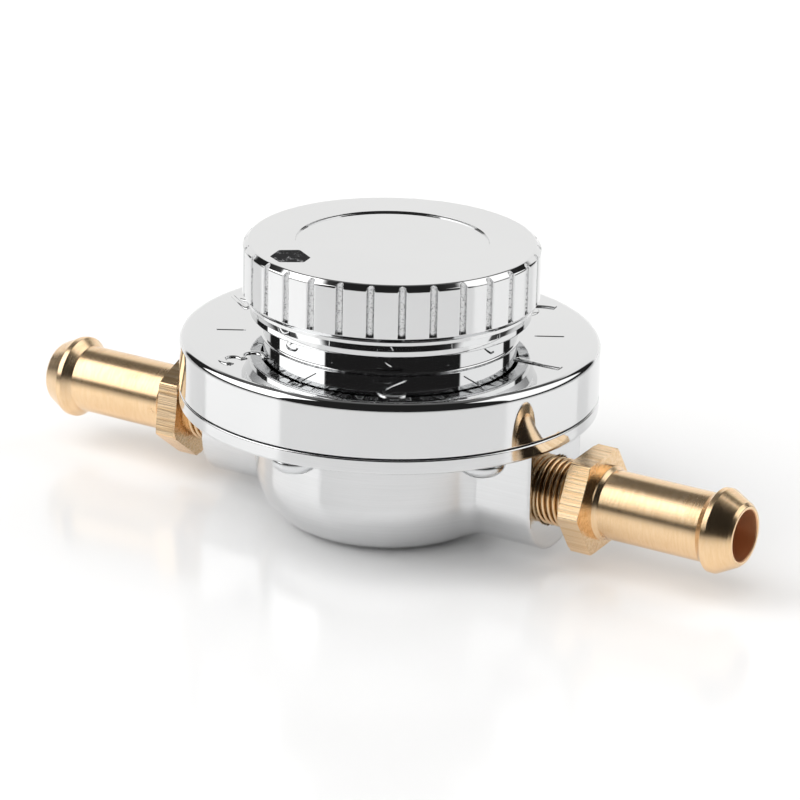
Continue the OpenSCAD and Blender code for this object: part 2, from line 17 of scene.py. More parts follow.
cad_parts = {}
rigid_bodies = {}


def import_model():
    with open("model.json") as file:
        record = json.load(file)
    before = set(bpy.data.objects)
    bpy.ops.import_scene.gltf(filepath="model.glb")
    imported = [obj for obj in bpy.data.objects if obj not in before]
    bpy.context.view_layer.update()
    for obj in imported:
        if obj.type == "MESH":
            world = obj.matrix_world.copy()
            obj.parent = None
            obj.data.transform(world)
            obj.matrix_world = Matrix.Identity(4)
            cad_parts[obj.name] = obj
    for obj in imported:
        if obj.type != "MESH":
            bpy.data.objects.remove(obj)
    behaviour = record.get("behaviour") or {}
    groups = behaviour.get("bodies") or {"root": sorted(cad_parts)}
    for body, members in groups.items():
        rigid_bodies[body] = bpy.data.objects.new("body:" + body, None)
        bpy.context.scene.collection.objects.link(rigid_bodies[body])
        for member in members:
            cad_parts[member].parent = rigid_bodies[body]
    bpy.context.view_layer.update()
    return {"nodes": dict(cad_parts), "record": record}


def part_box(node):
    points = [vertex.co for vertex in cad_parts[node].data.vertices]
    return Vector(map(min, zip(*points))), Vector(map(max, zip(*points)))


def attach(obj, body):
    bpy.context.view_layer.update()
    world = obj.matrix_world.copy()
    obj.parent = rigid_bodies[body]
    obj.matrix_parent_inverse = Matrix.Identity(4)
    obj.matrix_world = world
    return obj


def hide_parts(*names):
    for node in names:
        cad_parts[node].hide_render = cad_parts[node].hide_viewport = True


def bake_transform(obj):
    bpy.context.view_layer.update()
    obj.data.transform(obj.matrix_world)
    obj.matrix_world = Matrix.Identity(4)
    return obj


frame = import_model()
nodes = frame["nodes"]

# %% [markdown]
# ## Sizes
# The sizes repeat those of the solids, in millimetres, so that every piece lies where its solid lies.
# Only the meshes are written in metres: they are scaled once, when they are made.

# %% The main sizes in millimetres
MM = 0.001
housing_r, bowl_r, bowl_h, bowl_round = 31.75, 20.0, 19.0, 9.0
flange_top, cover_z, cover_top = 20.9, 21.7, 29.8
neck_r, neck_top, neck_bore_r = 19.1, 40.4, 15.5
dial_r, dial_z, dial_top, band_z = 22.35, 33.1, 44.5, 36.2
port_z, port_face, bore_r = 11.0, 29.35, 3.85
seam_lip_r, seam_lip_h, seam_round = housing_r - 0.9, 0.3, 0.25
mark_turn = 2
low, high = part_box("dial_knob")
print("dial solid from z", round(low.z / MM, 2), "to", round(high.z / MM, 2), "mm")

# %% [markdown]
# ## A skin of rows
# A turned or cast surface can be described by rows of points, each with the exact direction in which the
# surface faces there. A subdivision surface would only come near the true shape, and a plain lathe with
# smooth shading bends the reflections beside every edge. So this small class collects rows, sews equal
# points together, and hands the exact directions to the mesh as custom normals.

# %% The class that sews rows into a mesh
class Skin:
    """Strips of quads with an exact normal at each corner; points in one step of a fine grid are sewn."""

    steps_per_mm = 20000

    def __init__(self):
        self.points, self.faces, self.size = [], [], 0

    def rows(self, place, facing, closed=True):
        """place and facing have the shape (rows, columns, 3); closed joins the last column to the first."""
        place = np.asarray(place, float)
        facing = np.broadcast_to(np.asarray(facing, float), place.shape)
        count, across = place.shape[:2]
        i, j = np.meshgrid(np.arange(count - 1), np.arange(across if closed else across - 1), indexing="ij")
        k = (j + 1) % across
        quads = np.stack([i * across + j, i * across + k, (i + 1) * across + k, (i + 1) * across + j], -1)
        quads = quads.reshape(-1, 4)
        self.polygons(place.reshape(-1, 3), quads, facing.reshape(-1, 3)[quads])

    def polygons(self, points, faces, corner_normals):
        """Adds quads or triangles, turned so that they face the way of their corner normals."""
        points, faces = np.asarray(points, float), np.array(faces)
        corner_normals = np.array(corner_normals, float)
        a, b, c = (points[faces[:, n]] for n in range(3))
        d = points[faces[:, -1]]
        flat = np.cross(c - a, d - b) if faces.shape[1] == 4 else np.cross(b - a, c - a)
        wrong = (flat * corner_normals.sum(1)).sum(1) < 0
        faces[wrong] = faces[wrong][:, ::-1]
        corner_normals[wrong] = corner_normals[wrong][:, ::-1]
        self.points.append(points)
        self.faces.append((faces + self.size, corner_normals))
        self.size += len(points)

    def arrays(self):
        """Points with doubles merged, faces without repeated corners, and the normals of their corners."""
        points = np.concatenate(self.points)
        steps = np.round(points * self.steps_per_mm).astype(np.int64)
        keys, back = np.unique(steps, axis=0, return_inverse=True)
        back = back.reshape(-1)
        merged = np.zeros((len(keys), 3))
        merged[back] = points
        faces, normals = [], []
        for block, block_normals in self.faces:
            for face, corner in zip(back[block].tolist(), block_normals.tolist()):
                keep = [n for n in range(len(face)) if face[n] != face[n - 1]]
                if len(keep) >= 3 and len(set(face)) >= 3:
                    faces.append([face[n] for n in keep])
                    normals += [corner[n] for n in keep]
        return merged, faces, normals

    def piece(self, name, *materials):
        points, faces, normals = self.arrays()
        mesh = bpy.data.meshes.new(name)
        mesh.from_pydata((points * MM).tolist(), [], faces)
        mesh.polygons.foreach_set("use_smooth", np.ones(len(faces), bool))
        mesh.normals_split_custom_set(normals)
        return new_piece(name, mesh, *materials)


def new_piece(name, mesh, *materials):
    """An object at the origin that carries its place in its mesh."""
    for material in materials:
        mesh.materials.append(material)
    made = bpy.data.objects.new(name, mesh)
    bpy.context.scene.collection.objects.link(made)
    return made


def settled(piece):
    """Turns what the modifiers give into a plain mesh and removes them."""
    graph = bpy.context.evaluated_depsgraph_get()
    final = piece.evaluated_get(graph)
    mesh = bpy.data.meshes.new_from_object(final, preserve_all_data_layers=True, depsgraph=graph)
    piece.modifiers.clear()
    piece.data = mesh
    return piece


def shaded_by_angle(piece, degrees=32):
    """Smooth shading with edges sharper than this angle kept."""
    piece.data.polygons.foreach_set("use_smooth", np.ones(len(piece.data.polygons), bool))
    piece.data.set_sharp_from_angle(angle=math.radians(degrees))


print("skin class ready")

# %% [markdown]
# ## Turned sections
# Most pieces here are turned: a section is spun round an axis. A section is a list of corners, each with
# its own small round, because on plated metal every edge has a thin bright line. The helper cuts the
# section into runs at its sharp corners, and fills each round with a short arc.

# %% Sections with rounded corners, and the lathe
def flat_turn(angle):
    """The matrix that turns a flat point by an angle."""
    return np.array([[math.cos(angle), -math.sin(angle)], [math.sin(angle), math.cos(angle)]])


def section_runs(corners, steps=6):
    """Runs of (points, normals) for corners (r, z, round), listed with the metal on the left."""
    points = np.array([c[:2] for c in corners], float)
    runs, line, facing = [], [], []

    def right_of(direction):
        return np.array([direction[1], -direction[0]])

    for n in range(len(points) - 1):
        along = points[n + 1] - points[n]
        length = np.linalg.norm(along)
        along = along / length
        if not line:
            line, facing = [points[n]], [right_of(along)]
        round_r = corners[n + 1][2] if n + 2 < len(points) else 0
        if round_r == 0:
            runs.append((np.array(line + [points[n + 1]]), np.array(facing + [right_of(along)])))
            line, facing = [], []
            continue
        after = points[n + 2] - points[n + 1]
        after = after / np.linalg.norm(after)
        turn = math.atan2(along[0] * after[1] - along[1] * after[0], along @ after)
        cut = round_r * math.tan(abs(turn) / 2)
        first = points[n + 1] - along * cut
        sense = math.copysign(1, turn)
        middle = first - sense * right_of(along) * round_r
        for k in range(steps + 1):
            spun = flat_turn(turn * k / steps) @ right_of(along)
            line.append(middle + sense * spun * round_r)
            facing.append(spun)
    return runs


def spun_rows(skin, line, facing, angles, axis="Z", flip=1):
    """Spins points (r, h) and their directions: about Z, or about the port axis with flip = -1 at -X."""
    cos, sin = np.cos(angles), np.sin(angles)
    r, h = line[:, :1], np.repeat(line[:, 1:], len(angles), 1)
    nr, nh = facing[:, :1], np.repeat(facing[:, 1:], len(angles), 1)
    if axis == "Z":
        skin.rows(np.stack([r * cos, r * sin, h], -1), np.stack([nr * cos, nr * sin, nh], -1))
    else:
        place = np.stack([flip * h, r * cos, r * sin + port_z], -1)
        skin.rows(place, np.stack([flip * nh, nr * cos, nr * sin], -1))


def turned(skin, corners, angles, axis="Z", flip=1, steps=6):
    """Adds a section of corners (r, h, round), spun about its axis."""
    for line, facing in section_runs(corners, steps):
        spun_rows(skin, line, facing, angles, axis, flip)


def ring_of(count):
    return np.arange(count) * (2 * math.pi / count)


def circle(radius, angles):
    return radius * np.stack([np.cos(angles), np.sin(angles)], -1)


example = section_runs([(0, 0, 0), (1, 0, 0.2), (1, 1, 0)])
print("a square corner with a round becomes", len(example[0][0]), "points")

# %% [markdown]
# ## Shader sums
# A finish is a node tree, and long trees are hard to read. This class wraps one output of a node, so that
# a sum such as `1 - mask * 0.3` adds its own Math nodes. Every other node comes from `add`, which takes the
# node's type, its settings and its sockets. The same class serves the Geometry Nodes trees further down.
# Noise scales count per metre, and the depths of bumps are in metres.

# %% The socket class and the tree class
class Sock:
    """One output of a node, for use in sums."""

    def __init__(self, tree, out):
        self.tree, self.out = tree, out

    def math(self, operation, *others):
        inputs = {n: value for n, value in enumerate((self,) + others)}
        return self.tree.add("ShaderNodeMath", {"operation": operation}, inputs)

    def __add__(self, other):
        return self.math("ADD", other)

    def __sub__(self, other):
        return self.math("SUBTRACT", other)

    def __mul__(self, other):
        return self.math("MULTIPLY", other)

    def __truediv__(self, other):
        return self.math("DIVIDE", other)

    def __rsub__(self, other):
        return self.tree.add("ShaderNodeMath", {"operation": "SUBTRACT"}, {0: other, 1: self})

    def __rtruediv__(self, other):
        return self.tree.add("ShaderNodeMath", {"operation": "DIVIDE"}, {0: other, 1: self})

    __radd__, __rmul__ = __add__, __mul__


class Tree:
    """A node tree that adds nodes and links in one call."""

    def __init__(self, tree):
        self.tree = tree

    def add(self, kind, settings=None, inputs=None, out=0):
        node = self.tree.nodes.new(kind)
        for key, value in (settings or {}).items():
            setattr(node, key, value)
        for key, value in (inputs or {}).items():
            if isinstance(value, Sock):
                self.tree.links.new(value.out, node.inputs[key])
            else:
                node.inputs[key].default_value = value
        return Sock(self, node.outputs[out])

    def place(self, scale=(1, 1, 1), turn=(0, 0, 0)):
        """Object coordinates in metres, scaled and turned."""
        here = self.add("ShaderNodeTexCoord", out="Object")
        return self.add("ShaderNodeMapping", None, {"Vector": here, "Scale": scale, "Rotation": turn})

    def noise(self, where, scale, detail=3.0, roughness=0.55):
        settings = {"Vector": where, "Scale": scale, "Detail": detail, "Roughness": roughness}
        return self.add("ShaderNodeTexNoise", None, settings)

    def between(self, value, low, high):
        """0 below low, 1 above high, smooth between."""
        inputs = {"Value": value, "From Min": low, "From Max": high}
        return self.add("ShaderNodeMapRange", {"interpolation_type": "SMOOTHSTEP"}, inputs)

    def mix(self, factor, first, second, blend="MIX"):
        """Goes from the first colour to the second."""
        settings = {"data_type": "RGBA", "blend_type": blend}
        return self.add("ShaderNodeMix", settings, {0: factor, 6: first, 7: second}, out=2)

    def tint(self, factor, dark, light):
        return self.mix(factor, (*dark, 1), (*light, 1))

    def parts(self, vector, axes="XYZ"):
        """The coordinates of a vector, one socket each."""
        return [self.add("ShaderNodeSeparateXYZ", None, {0: vector}, out=axis) for axis in axes]

    def vector(self, x=0.0, y=0.0, z=0.0):
        return self.add("ShaderNodeCombineXYZ", None, {0: x, 1: y, 2: z})

    def bump(self, height, distance, under=None):
        """A bump of this depth, over another one if that is given."""
        inputs = {"Height": height, "Distance": distance, "Strength": 1.0}
        if under:
            inputs["Normal"] = under
        return self.add("ShaderNodeBump", None, inputs)


def finish(name, recipe):
    """A new material; recipe(tree) returns the sockets of its Principled shader."""
    material = bpy.data.materials.new(name)
    material.use_nodes = True
    material.node_tree.nodes.clear()
    tree = Tree(material.node_tree)
    shader = tree.add("ShaderNodeBsdfPrincipled", None, recipe(tree))
    tree.tree.links.new(shader.out, tree.tree.nodes.new("ShaderNodeOutputMaterial").inputs["Surface"])
    return material


print("shader classes ready")

# %% [markdown]
# ## Mirror chrome
# The dial and the cover are polished castings under bright plating. The plating is almost a mirror: its
# tint barely changes, hair-fine polishing lines only break up the gloss, and the surface under it is never
# quite flat. In the flutes no polishing wheel reaches, so there the cast grain shows through the plating.
# A `cast` attribute on the mesh tells the finish where that is. There dark speckles are painted into
# the colour as shade in the pits of the grain.

# %% Mirror chrome
def mirror_chrome(tree):
    here = tree.place()
    slow = tree.noise(here, 55, 2)
    polish = tree.noise(tree.place((2200, 160, 900), (0.3, 0.2, 0.7)), 1.0, 4)
    grain = tree.noise(here, 5200, 3, 0.7)
    cast = tree.add("ShaderNodeAttribute", {"attribute_name": "cast"}, out="Fac")
    # Painted shade: dark speckles in the flutes stand for the shade in the pits of the cast grain.
    pit_shade = tree.between(tree.noise(here, 3400, 2, 0.6), 0.55, 0.63) * cast
    plating = tree.tint(slow, (0.70, 0.705, 0.71), (0.735, 0.74, 0.745))
    swell = tree.bump(tree.noise(here, 240, 2), 2.2e-6)
    rough = tree.bump(grain * cast, 3e-5, under=swell)
    return {
        "Base Color": tree.mix(pit_shade * 0.7, plating, (0.16, 0.16, 0.165, 1)),
        "Metallic": 1.0,
        "Roughness": 0.02 + polish * 0.025 + slow * 0.01 + cast * 0.07,
        "Normal": rough,
    }


chrome = finish("bright_chrome", mirror_chrome)
print("made", chrome.name)

# %% [markdown]
# ## Satin chrome
# The body is plated too, but it was only brushed before plating. Fine lines run round its bowl, so its
# reflections are softer than the cover's. A noise that is stretched level gives those lines.

# %% Satin chrome
def satin_chrome(tree):
    here = tree.place()
    slow = tree.noise(here, 70, 3)
    lines = tree.noise(tree.place((90, 90, 3800)), 1.0, 4, 0.7)
    level = tree.bump(lines, 6e-6)
    return {
        "Base Color": tree.tint(slow * 0.3 + lines * 0.7, (0.63, 0.635, 0.64), (0.78, 0.785, 0.79)),
        "Metallic": 1.0,
        "Roughness": 0.02 + slow * 0.02 + lines * 0.06,
        "Normal": tree.bump(tree.noise(here, 420, 2), 2.4e-6, under=level),
    }


satin = finish("satin_chrome", satin_chrome)
print("made", satin.name)

# %% [markdown]
# ## Brass, as turned and as drawn
# The barbs are cut from hexagon bar. The tool leaves fine rings on everything that was turned, and the
# flats of the hexagon keep the long die lines of the drawn bar. Both are one alloy, so one recipe makes
# both finishes, and only the direction in which its noise is stretched differs. The bore is drilled: it
# stays rougher, and a redder tint stands for the light that bounces about in it.

# %% Brass
def brass_recipe(stretch, depth, softness, contrast):
    def recipe(tree):
        here = tree.place()
        slow = tree.noise(here, 90, 3)
        lines = tree.noise(tree.place(stretch), 1.0, 3, 0.65)
        stain = tree.between(tree.noise(here, 210, 4), 0.55, 0.75)
        y, z = tree.parts(here, "YZ")
        above = z - port_z * MM
        from_axis = (y * y + above * above).math("SQRT")
        drilled = 1 - tree.between(from_axis, (bore_r + 0.05) * MM, (bore_r + 0.25) * MM)
        shade = slow * (1 - contrast) + tree.between(lines, 0.32, 0.66) * contrast
        alloy = tree.tint(shade, (0.82, 0.55, 0.29), (0.98, 0.75, 0.50))
        colour = tree.mix(drilled * 0.7, alloy, (0.95, 0.54, 0.32, 1))
        return {
            "Base Color": tree.mix(stain * 0.3, colour, (0.80, 0.62, 0.46, 1), "MULTIPLY"),
            "Metallic": 1.0,
            "Roughness": softness + lines * 0.1 + slow * 0.06 + stain * 0.06 + drilled * 0.28,
            "Normal": tree.bump(lines, depth),
        }
    return recipe


turned_brass = finish("turned_brass", brass_recipe((3600, 420, 420), 7e-6, 0.16, 0.3))
drawn_brass = finish("drawn_brass", brass_recipe((60, 1800, 1800), 6e-5, 0.15, 0.85))
print("made", turned_brass.name, "and", drawn_brass.name)

# %% [markdown]
# ## Zinc-plated steel, rubber and black paint
# The screws and the inner steel pieces are zinc plated: grey, with a faint cloudy bloom. The diaphragm is
# rubber with a cloth inlay, which shows at its cut edge. The pointer is filled with black paint that did
# not wet the cast floor everywhere, so light specks show in it.

# %% Steel, rubber and paint
def zinc_steel(tree):
    here = tree.place()
    bloom = tree.noise(here, 320, 4)
    fine = tree.noise(here, 4200, 2)
    return {
        "Base Color": tree.tint(bloom, (0.60, 0.61, 0.62), (0.76, 0.77, 0.78)),
        "Metallic": 1.0,
        "Roughness": 0.12 + bloom * 0.12 + fine * 0.05,
        "Normal": tree.bump(fine, 3e-6),
    }


def diaphragm_rubber(tree):
    here = tree.place()
    weave = tree.noise(here, 3000, 2)
    return {
        "Base Color": tree.tint(weave, (0.012, 0.012, 0.013), (0.03, 0.03, 0.032)),
        "Roughness": 0.55 + weave * 0.25,
        "Normal": tree.bump(weave, 4e-5),
    }


def pointer_black(tree):
    here = tree.place()
    grain = tree.noise(here, 2600, 3, 0.7)
    chips = tree.between(grain * 0.6 + tree.noise(here, 700, 2) * 0.4, 0.56, 0.62)
    return {
        "Base Color": tree.tint(chips, (0.010, 0.010, 0.011), (0.34, 0.34, 0.35)),
        "Roughness": 0.8 - chips * 0.4,
        "Metallic": chips * 0.7,
        "Specular IOR Level": 0.2,
        "Normal": tree.bump(grain, 6e-5),
    }


steel = finish("zinc_steel", zinc_steel)
rubber = finish("diaphragm_rubber", diaphragm_rubber)
black = finish("pointer_black", pointer_black)
print("made", steel.name, rubber.name, black.name)

# %% [markdown]
# ## The dial, before its flutes
# The dial is a cast cap. Its section steps out from a lip over a ring to the fluted band, and ends in a
# bevel round a flat top with a shallow recess. It is spun here from columns that crowd together where the
# flutes will be. Each flute is a half-round groove between two rounded lips, and the columns are densest
# on the lips, so that those come out smooth without a dense mesh everywhere.

# %% Columns and sections of the dial
flutes, groove_r, groove_sink, lip_r, flute_foot = 30, 0.54, 0.16, 0.2, 0.35
bevel_w, bevel_h = 0.85, 0.74
pitch = 2 * math.pi / flutes
near, deep, both = dial_r - lip_r, dial_r - groove_sink, groove_r + lip_r
lip_at = math.acos((near ** 2 + deep ** 2 - both ** 2) / (2 * near * deep))
touch = groove_r / both
touch_at = math.atan2(near * math.sin(lip_at) * touch, deep + (near * math.cos(lip_at) - deep) * touch)
half = [touch_at * f for f in (0, 0.25, 0.5, 0.7, 0.85, 0.95, 1)]
half += [lip_at - (lip_at - touch_at) * math.sin(math.radians(a)) for a in (72, 55, 40, 27, 13, 0)]
half += [lip_at * f for f in (1.15, 1.6, 2.6)]
offsets = sorted({sign * a for a in half for sign in (-1, 1)})
columns = np.array([(n + 0.5) * pitch + d for n in range(flutes) for d in offsets])
recess_r, recess_z = 14.5, dial_top - 0.25
bevel_top = dial_r - bevel_w
skirt_r, rim_r, ring_r, roof_z = 19.5, 21.2, 21.8, 41.1
outside = [
    (skirt_r, dial_z, 0), (rim_r, dial_z, 0.3), (rim_r, 34.15, 0.1), (ring_r, 35.25, 0.1),
    (ring_r, 35.75, 0.08), (dial_r, band_z + 0.25, 0.08), (dial_r, band_z + flute_foot, 0),
]
hub_r, hub_bore_r, hub_z, hub_top, seat_r, seat_z = 6, 4.02, 35.2, 42.62, 9.6, 40.9
track_in, track_out, track_top = 10.3, 13.7, 41.75
inside = [
    (0, hub_top, 0), (hub_bore_r, hub_top, 0), (hub_bore_r, hub_z, 0), (hub_r, hub_z, 0.2), (hub_r, seat_z, 0),
    (seat_r, seat_z, 0), (seat_r, roof_z, 0), (track_in, roof_z, 0), (track_in, track_top, 0),
    (track_out, track_top, 0), (track_out, roof_z, 0), (skirt_r, roof_z, 0.3), (skirt_r, dial_z, 0),
]
dial = Skin()
turned(dial, outside, columns)
turned(dial, inside, columns[::4])
print("dial columns:", len(columns))

# %% [markdown]
# ## Band and bevel
# The band is straight, so two rows are enough. The flutes run out through the bevel in small arches, and
# those need rows close together. Both edges of the bevel are well rounded, because the photograph shows a
# dark line along each: there the plating mirrors the dark room overhead. The foot of the flutes is a step:
# two rows a hair apart, of which only the upper one will be pressed in.

# %% Rows of the band and of the bevel
hairline, bevel_edge, flat_r = 0.001, 0.5, dial_r - bevel_w - 0.3
slope_rows, slope_shortest, slope_longest = 19, 0.5, 2
foot_z = band_z + flute_foot
turned(dial, [(dial_r, foot_z, 0), (dial_r, foot_z + hairline, 0)], columns)
path, path_facing = section_runs([
    (dial_r, foot_z + hairline, 0), (dial_r, dial_top - bevel_h, bevel_edge),
    (bevel_top, dial_top, bevel_edge), (flat_r, dial_top, 0),
])[0]
line, facing = [path[0]], [path_facing[0]]
for before_at, at, aim_at_it in zip(path, path[1:], path_facing[1:]):
    on_slope = slope_shortest < np.linalg.norm(at - before_at) < slope_longest
    for t in np.linspace(0, 1, slope_rows if on_slope else 2)[1:]:
        line.append(before_at + (at - before_at) * t)
        facing.append(aim_at_it)
spun_rows(dial, np.array(line), np.array(facing), columns)
recess_edge, fine_ring = recess_r + 0.1, ring_of(240)
recess = [(recess_edge, dial_top, 0), (recess_r, dial_top, 0.06), (recess_r - 0.02, recess_z, 0.07)]
turned(dial, recess + [(0, recess_z, 0)], fine_ring)
print("band and bevel rows:", len(line))

# %% [markdown]
# ## The flat top and the pointer's pocket
# The pointer is a six-sided pocket between the recess and the rim. A mirror shows every uneven face, so
# the flat top round it is one plane: a triangulation of the two circles and the pocket's outline, all of
# whose corners face straight up. A Boolean would give the same hole with worse faces.

# %% Top ring with the pocket
def rounded_outline(corners, round_r, steps=4):
    runs = section_runs([(x, y, round_r) for x, y in corners] + [(*corners[0], 0)], steps)
    return np.concatenate([run[0][:-1] for run in runs])


def at_height(outline, z):
    """Flat points lifted to a height."""
    return np.concatenate([outline, np.full((len(outline), 1), z)], 1)


pointer_angle, pocket_z, pocket_round = math.radians(243), dial_top - 0.5, 0.45
lozenge = [(14.95, 0), (14.72, -2.1), (17.5, -3.45), (20.2, -1.4), (20.3, 1.6), (17.1, 3.3), (15.15, 1.85)]
loop = rounded_outline(lozenge, pocket_round)
spin = flat_turn(pointer_angle)
pocket = loop @ spin.T
rings = [circle(flat_r, columns), circle(recess_edge, fine_ring), pocket]
flat_points = np.concatenate(rings)
edges, start = [], 0
for ring in rings:
    edges += [(start + n, start + (n + 1) % len(ring)) for n in range(len(ring))]
    start += len(ring)
found = geometry.delaunay_2d_cdt([Vector(p) for p in flat_points], edges, [], 0, 1e-7)
spots, triangles = np.array([tuple(p) for p in found[0]]), np.array(found[2])
centre = spots[triangles].mean(1)
local = centre @ spin
within = np.ones(len(centre), bool)
for a, b in zip(loop, np.roll(loop, -1, 0)):
    within &= (b[0] - a[0]) * (local[:, 1] - a[1]) - (b[1] - a[1]) * (local[:, 0] - a[0]) > 0
just_inside = 0.9999
keep = (np.hypot(*centre.T) > recess_edge * just_inside) & ~within
up = np.array([0.0, 0.0, 1.0])
dial.polygons(at_height(spots, dial_top), triangles[keep], np.broadcast_to(up, (keep.sum(), 3, 3)))
print("top ring:", int(keep.sum()), "triangles")

# %% Walls and floor of the pocket
def prism_wall(skin, outline, z0, z1, inward):
    """An upright wall along an outline that turns left; inward for a pocket, outward for a slab."""
    along = np.roll(outline, -1, 0) - np.roll(outline, 1, 0)
    out = np.stack([along[:, 1], -along[:, 0]], -1)
    out /= np.linalg.norm(out, axis=1, keepdims=True)
    if inward:
        out = -out
    skin.rows(np.stack([at_height(outline, z) for z in (z0, z1)]), at_height(out, 0.0))


def prism_lid(skin, outline, z, facing):
    points = np.concatenate([at_height(outline.mean(0)[None], z), at_height(outline, z)])
    n = len(outline)
    fan = np.array([(0, 1 + k, 1 + (k + 1) % n) for k in range(n)])
    skin.polygons(points, fan, np.broadcast_to(np.array(facing, float), (n, 3, 3)))


prism_wall(dial, pocket, pocket_z, dial_top, True)
prism_lid(dial, pocket, pocket_z, (0, 0, 1))
blank = dial.arrays()
print("dial blank:", len(blank[0]), "points,", len(blank[1]), "faces")

# %% [markdown]
# ## Flutes by a rule
# Thirty flutes stand round the band. That is a rule, so Geometry Nodes apply it: every point of the blank
# whose angle lies in a flute moves in to the groove's circle or, near the flute's edge, to the circle of
# its lip, unless the bevel lies deeper already. Both circles touch, and the lip's circle touches the band.
# The number of flutes, both radii, the groove's sink, the band's radius and the foot are inputs.

# %% The flute tree
def new_tree(title, sizes):
    """An empty Geometry Nodes tree with named inputs, its maker and its input node."""
    group = bpy.data.node_groups.new(title, "GeometryNodeTree")
    group.interface.new_socket("Geometry", in_out="INPUT", socket_type="NodeSocketGeometry")
    for label, kind in sizes:
        group.interface.new_socket(label, in_out="INPUT", socket_type=kind)
    group.interface.new_socket("Geometry", in_out="OUTPUT", socket_type="NodeSocketGeometry")
    maker = Tree(group)
    entry = group.nodes.new("NodeGroupInput")
    return group, maker, {o.name: Sock(maker, o) for o in entry.outputs if o.name}


def end_tree(group, maker, shape, material):
    """Every tree ends the same way: real geometry with its finish."""
    real = maker.add("GeometryNodeRealizeInstances", None, {"Geometry": shape})
    done = maker.add("GeometryNodeSetMaterial", None, {"Geometry": real, "Material": material})
    group.links.new(done.out, group.nodes.new("NodeGroupOutput").inputs[0])


def grow(piece, group, **values):
    """Runs a tree on a piece with these inputs and keeps the result as its mesh."""
    step = piece.modifiers.new(group.name, "NODES")
    step.node_group = group
    sockets = {s.name: s.identifier for s in group.interface.items_tree if s.in_out == "INPUT"}
    for label, value in values.items():
        step[sockets[label]] = value
    return settled(piece)


NUMBER, COUNT, FINISH = "NodeSocketFloat", "NodeSocketInt", "NodeSocketMaterial"
flute_sizes = [("Flutes", NUMBER), ("Groove", NUMBER), ("Sink", NUMBER), ("Lip", NUMBER), ("Radius", NUMBER),
               ("Foot", NUMBER), ("Inner edge", NUMBER), ("Finish", FINISH)]
flute_tree, make, given = new_tree("flutes", flute_sizes)
spot = make.add("GeometryNodeInputPosition")
x, y, z = make.parts(spot)
angle = y.math("ARCTAN2", x)
distance = (x * x + y * y).math("SQRT")
step_angle = 2 * math.pi / given["Flutes"]
off = (angle.math("FLOORED_MODULO", step_angle) - step_angle * 0.5).math("ABSOLUTE")
lip_axis, groove_axis = given["Radius"] - given["Lip"], given["Radius"] - given["Sink"]
apart = given["Groove"] + given["Lip"]
lip_cosine = (lip_axis * lip_axis + groove_axis * groove_axis - apart * apart) / (2 * lip_axis * groove_axis)
lip_angle = lip_cosine.math("ARCCOSINE")
part_way = given["Groove"] / apart
touch_side = lip_axis * lip_angle.math("SINE") * part_way
touch_up = groove_axis + (lip_axis * lip_angle.math("COSINE") - groove_axis) * part_way
on_lip = off.math("GREATER_THAN", touch_side.math("ARCTAN2", touch_up))
across = groove_axis * off.math("SINE")
chord = (given["Groove"] * given["Groove"] - across * across).math("MAXIMUM", 0.0).math("SQRT")
groove = groove_axis * off.math("COSINE") - chord
beside = off - lip_angle
lip_across = lip_axis * beside.math("SINE")
lip_chord = (given["Lip"] * given["Lip"] - lip_across * lip_across).math("MAXIMUM", 0.0).math("SQRT")
lip = lip_axis * beside.math("COSINE") + lip_chord
shape = lip * on_lip + groove * (1 - on_lip)
inside_flute = off.math("LESS_THAN", lip_angle) * z.math("GREATER_THAN", given["Foot"])
pressed = distance.math("MINIMUM", shape)
share = pressed / distance.math("MAXIMUM", 1e-6)
moved = make.vector(x * share, y * share, z)
chosen = distance.math("GREATER_THAN", given["Inner edge"]) * inside_flute
shaped = make.add("GeometryNodeSetPosition", None,
                  {"Geometry": given["Geometry"], "Selection": chosen, "Position": moved})
end_tree(flute_tree, make, shaped, given["Finish"])
print("flute tree:", len(flute_tree.nodes), "nodes")

# %% [markdown]
# ## Fluting the dial
# The tree moves points only, so the faces keep their order, and the exact directions can be laid on
# afterwards: towards the groove's own axis in a groove, away from the lip's axis on a lip, and straight up
# on the ledge at the flute's foot.

# %% The finished dial
dial_piece = dial.piece("dial_cap")
before = np.array([v.co for v in dial_piece.data.vertices]) / MM
grow(dial_piece, flute_tree, **{"Flutes": float(flutes), "Groove": groove_r * MM, "Sink": groove_sink * MM,
                                "Lip": lip_r * MM, "Radius": dial_r * MM, "Foot": (foot_z + hairline / 2) * MM,
                                "Inner edge": (flat_r + 0.01) * MM, "Finish": chrome})
mesh = dial_piece.data
after = np.array([v.co for v in mesh.vertices]) / MM
pressed_in = np.hypot(*before[:, :2].T) - np.hypot(*after[:, :2].T)
theta = np.arctan2(after[:, 1], after[:, 0])
centre_angle = (np.floor(theta / pitch) + 0.5) * pitch
off_angle = theta - centre_angle
in_the_groove = np.abs(off_angle) < touch_at + 1e-6
lip_centre = centre_angle + np.sign(off_angle) * lip_at
to_groove = (circle(deep, centre_angle) - after[:, :2]) / groove_r
from_lip = (after[:, :2] - circle(near, lip_centre)) / lip_r
flute_facing = np.zeros_like(after)
flute_facing[:, :2] = np.where(in_the_groove[:, None], to_groove, from_lip)
corner_vertex = np.array([l.vertex_index for l in mesh.loops])
corner_normal = np.array(blank[2])
least_press, cast_press = 1e-5, 0.02
in_flute = pressed_in[corner_vertex] > least_press
corner_normal[in_flute] = flute_facing[corner_vertex][in_flute]
for face in mesh.polygons:
    if face.normal.z > 0.9 and abs(face.center.z / MM - band_z - flute_foot) < 0.01:
        corner_normal[face.loop_indices] = up
mesh.polygons.foreach_set("use_smooth", np.ones(len(mesh.polygons), bool))
mesh.normals_split_custom_set(corner_normal.tolist())
cast = mesh.attributes.new("cast", "FLOAT", "POINT")
cast.data.foreach_set("value", (in_the_groove & (pressed_in > cast_press)).astype(np.float32))
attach(dial_piece, "dial")
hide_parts("dial_knob")
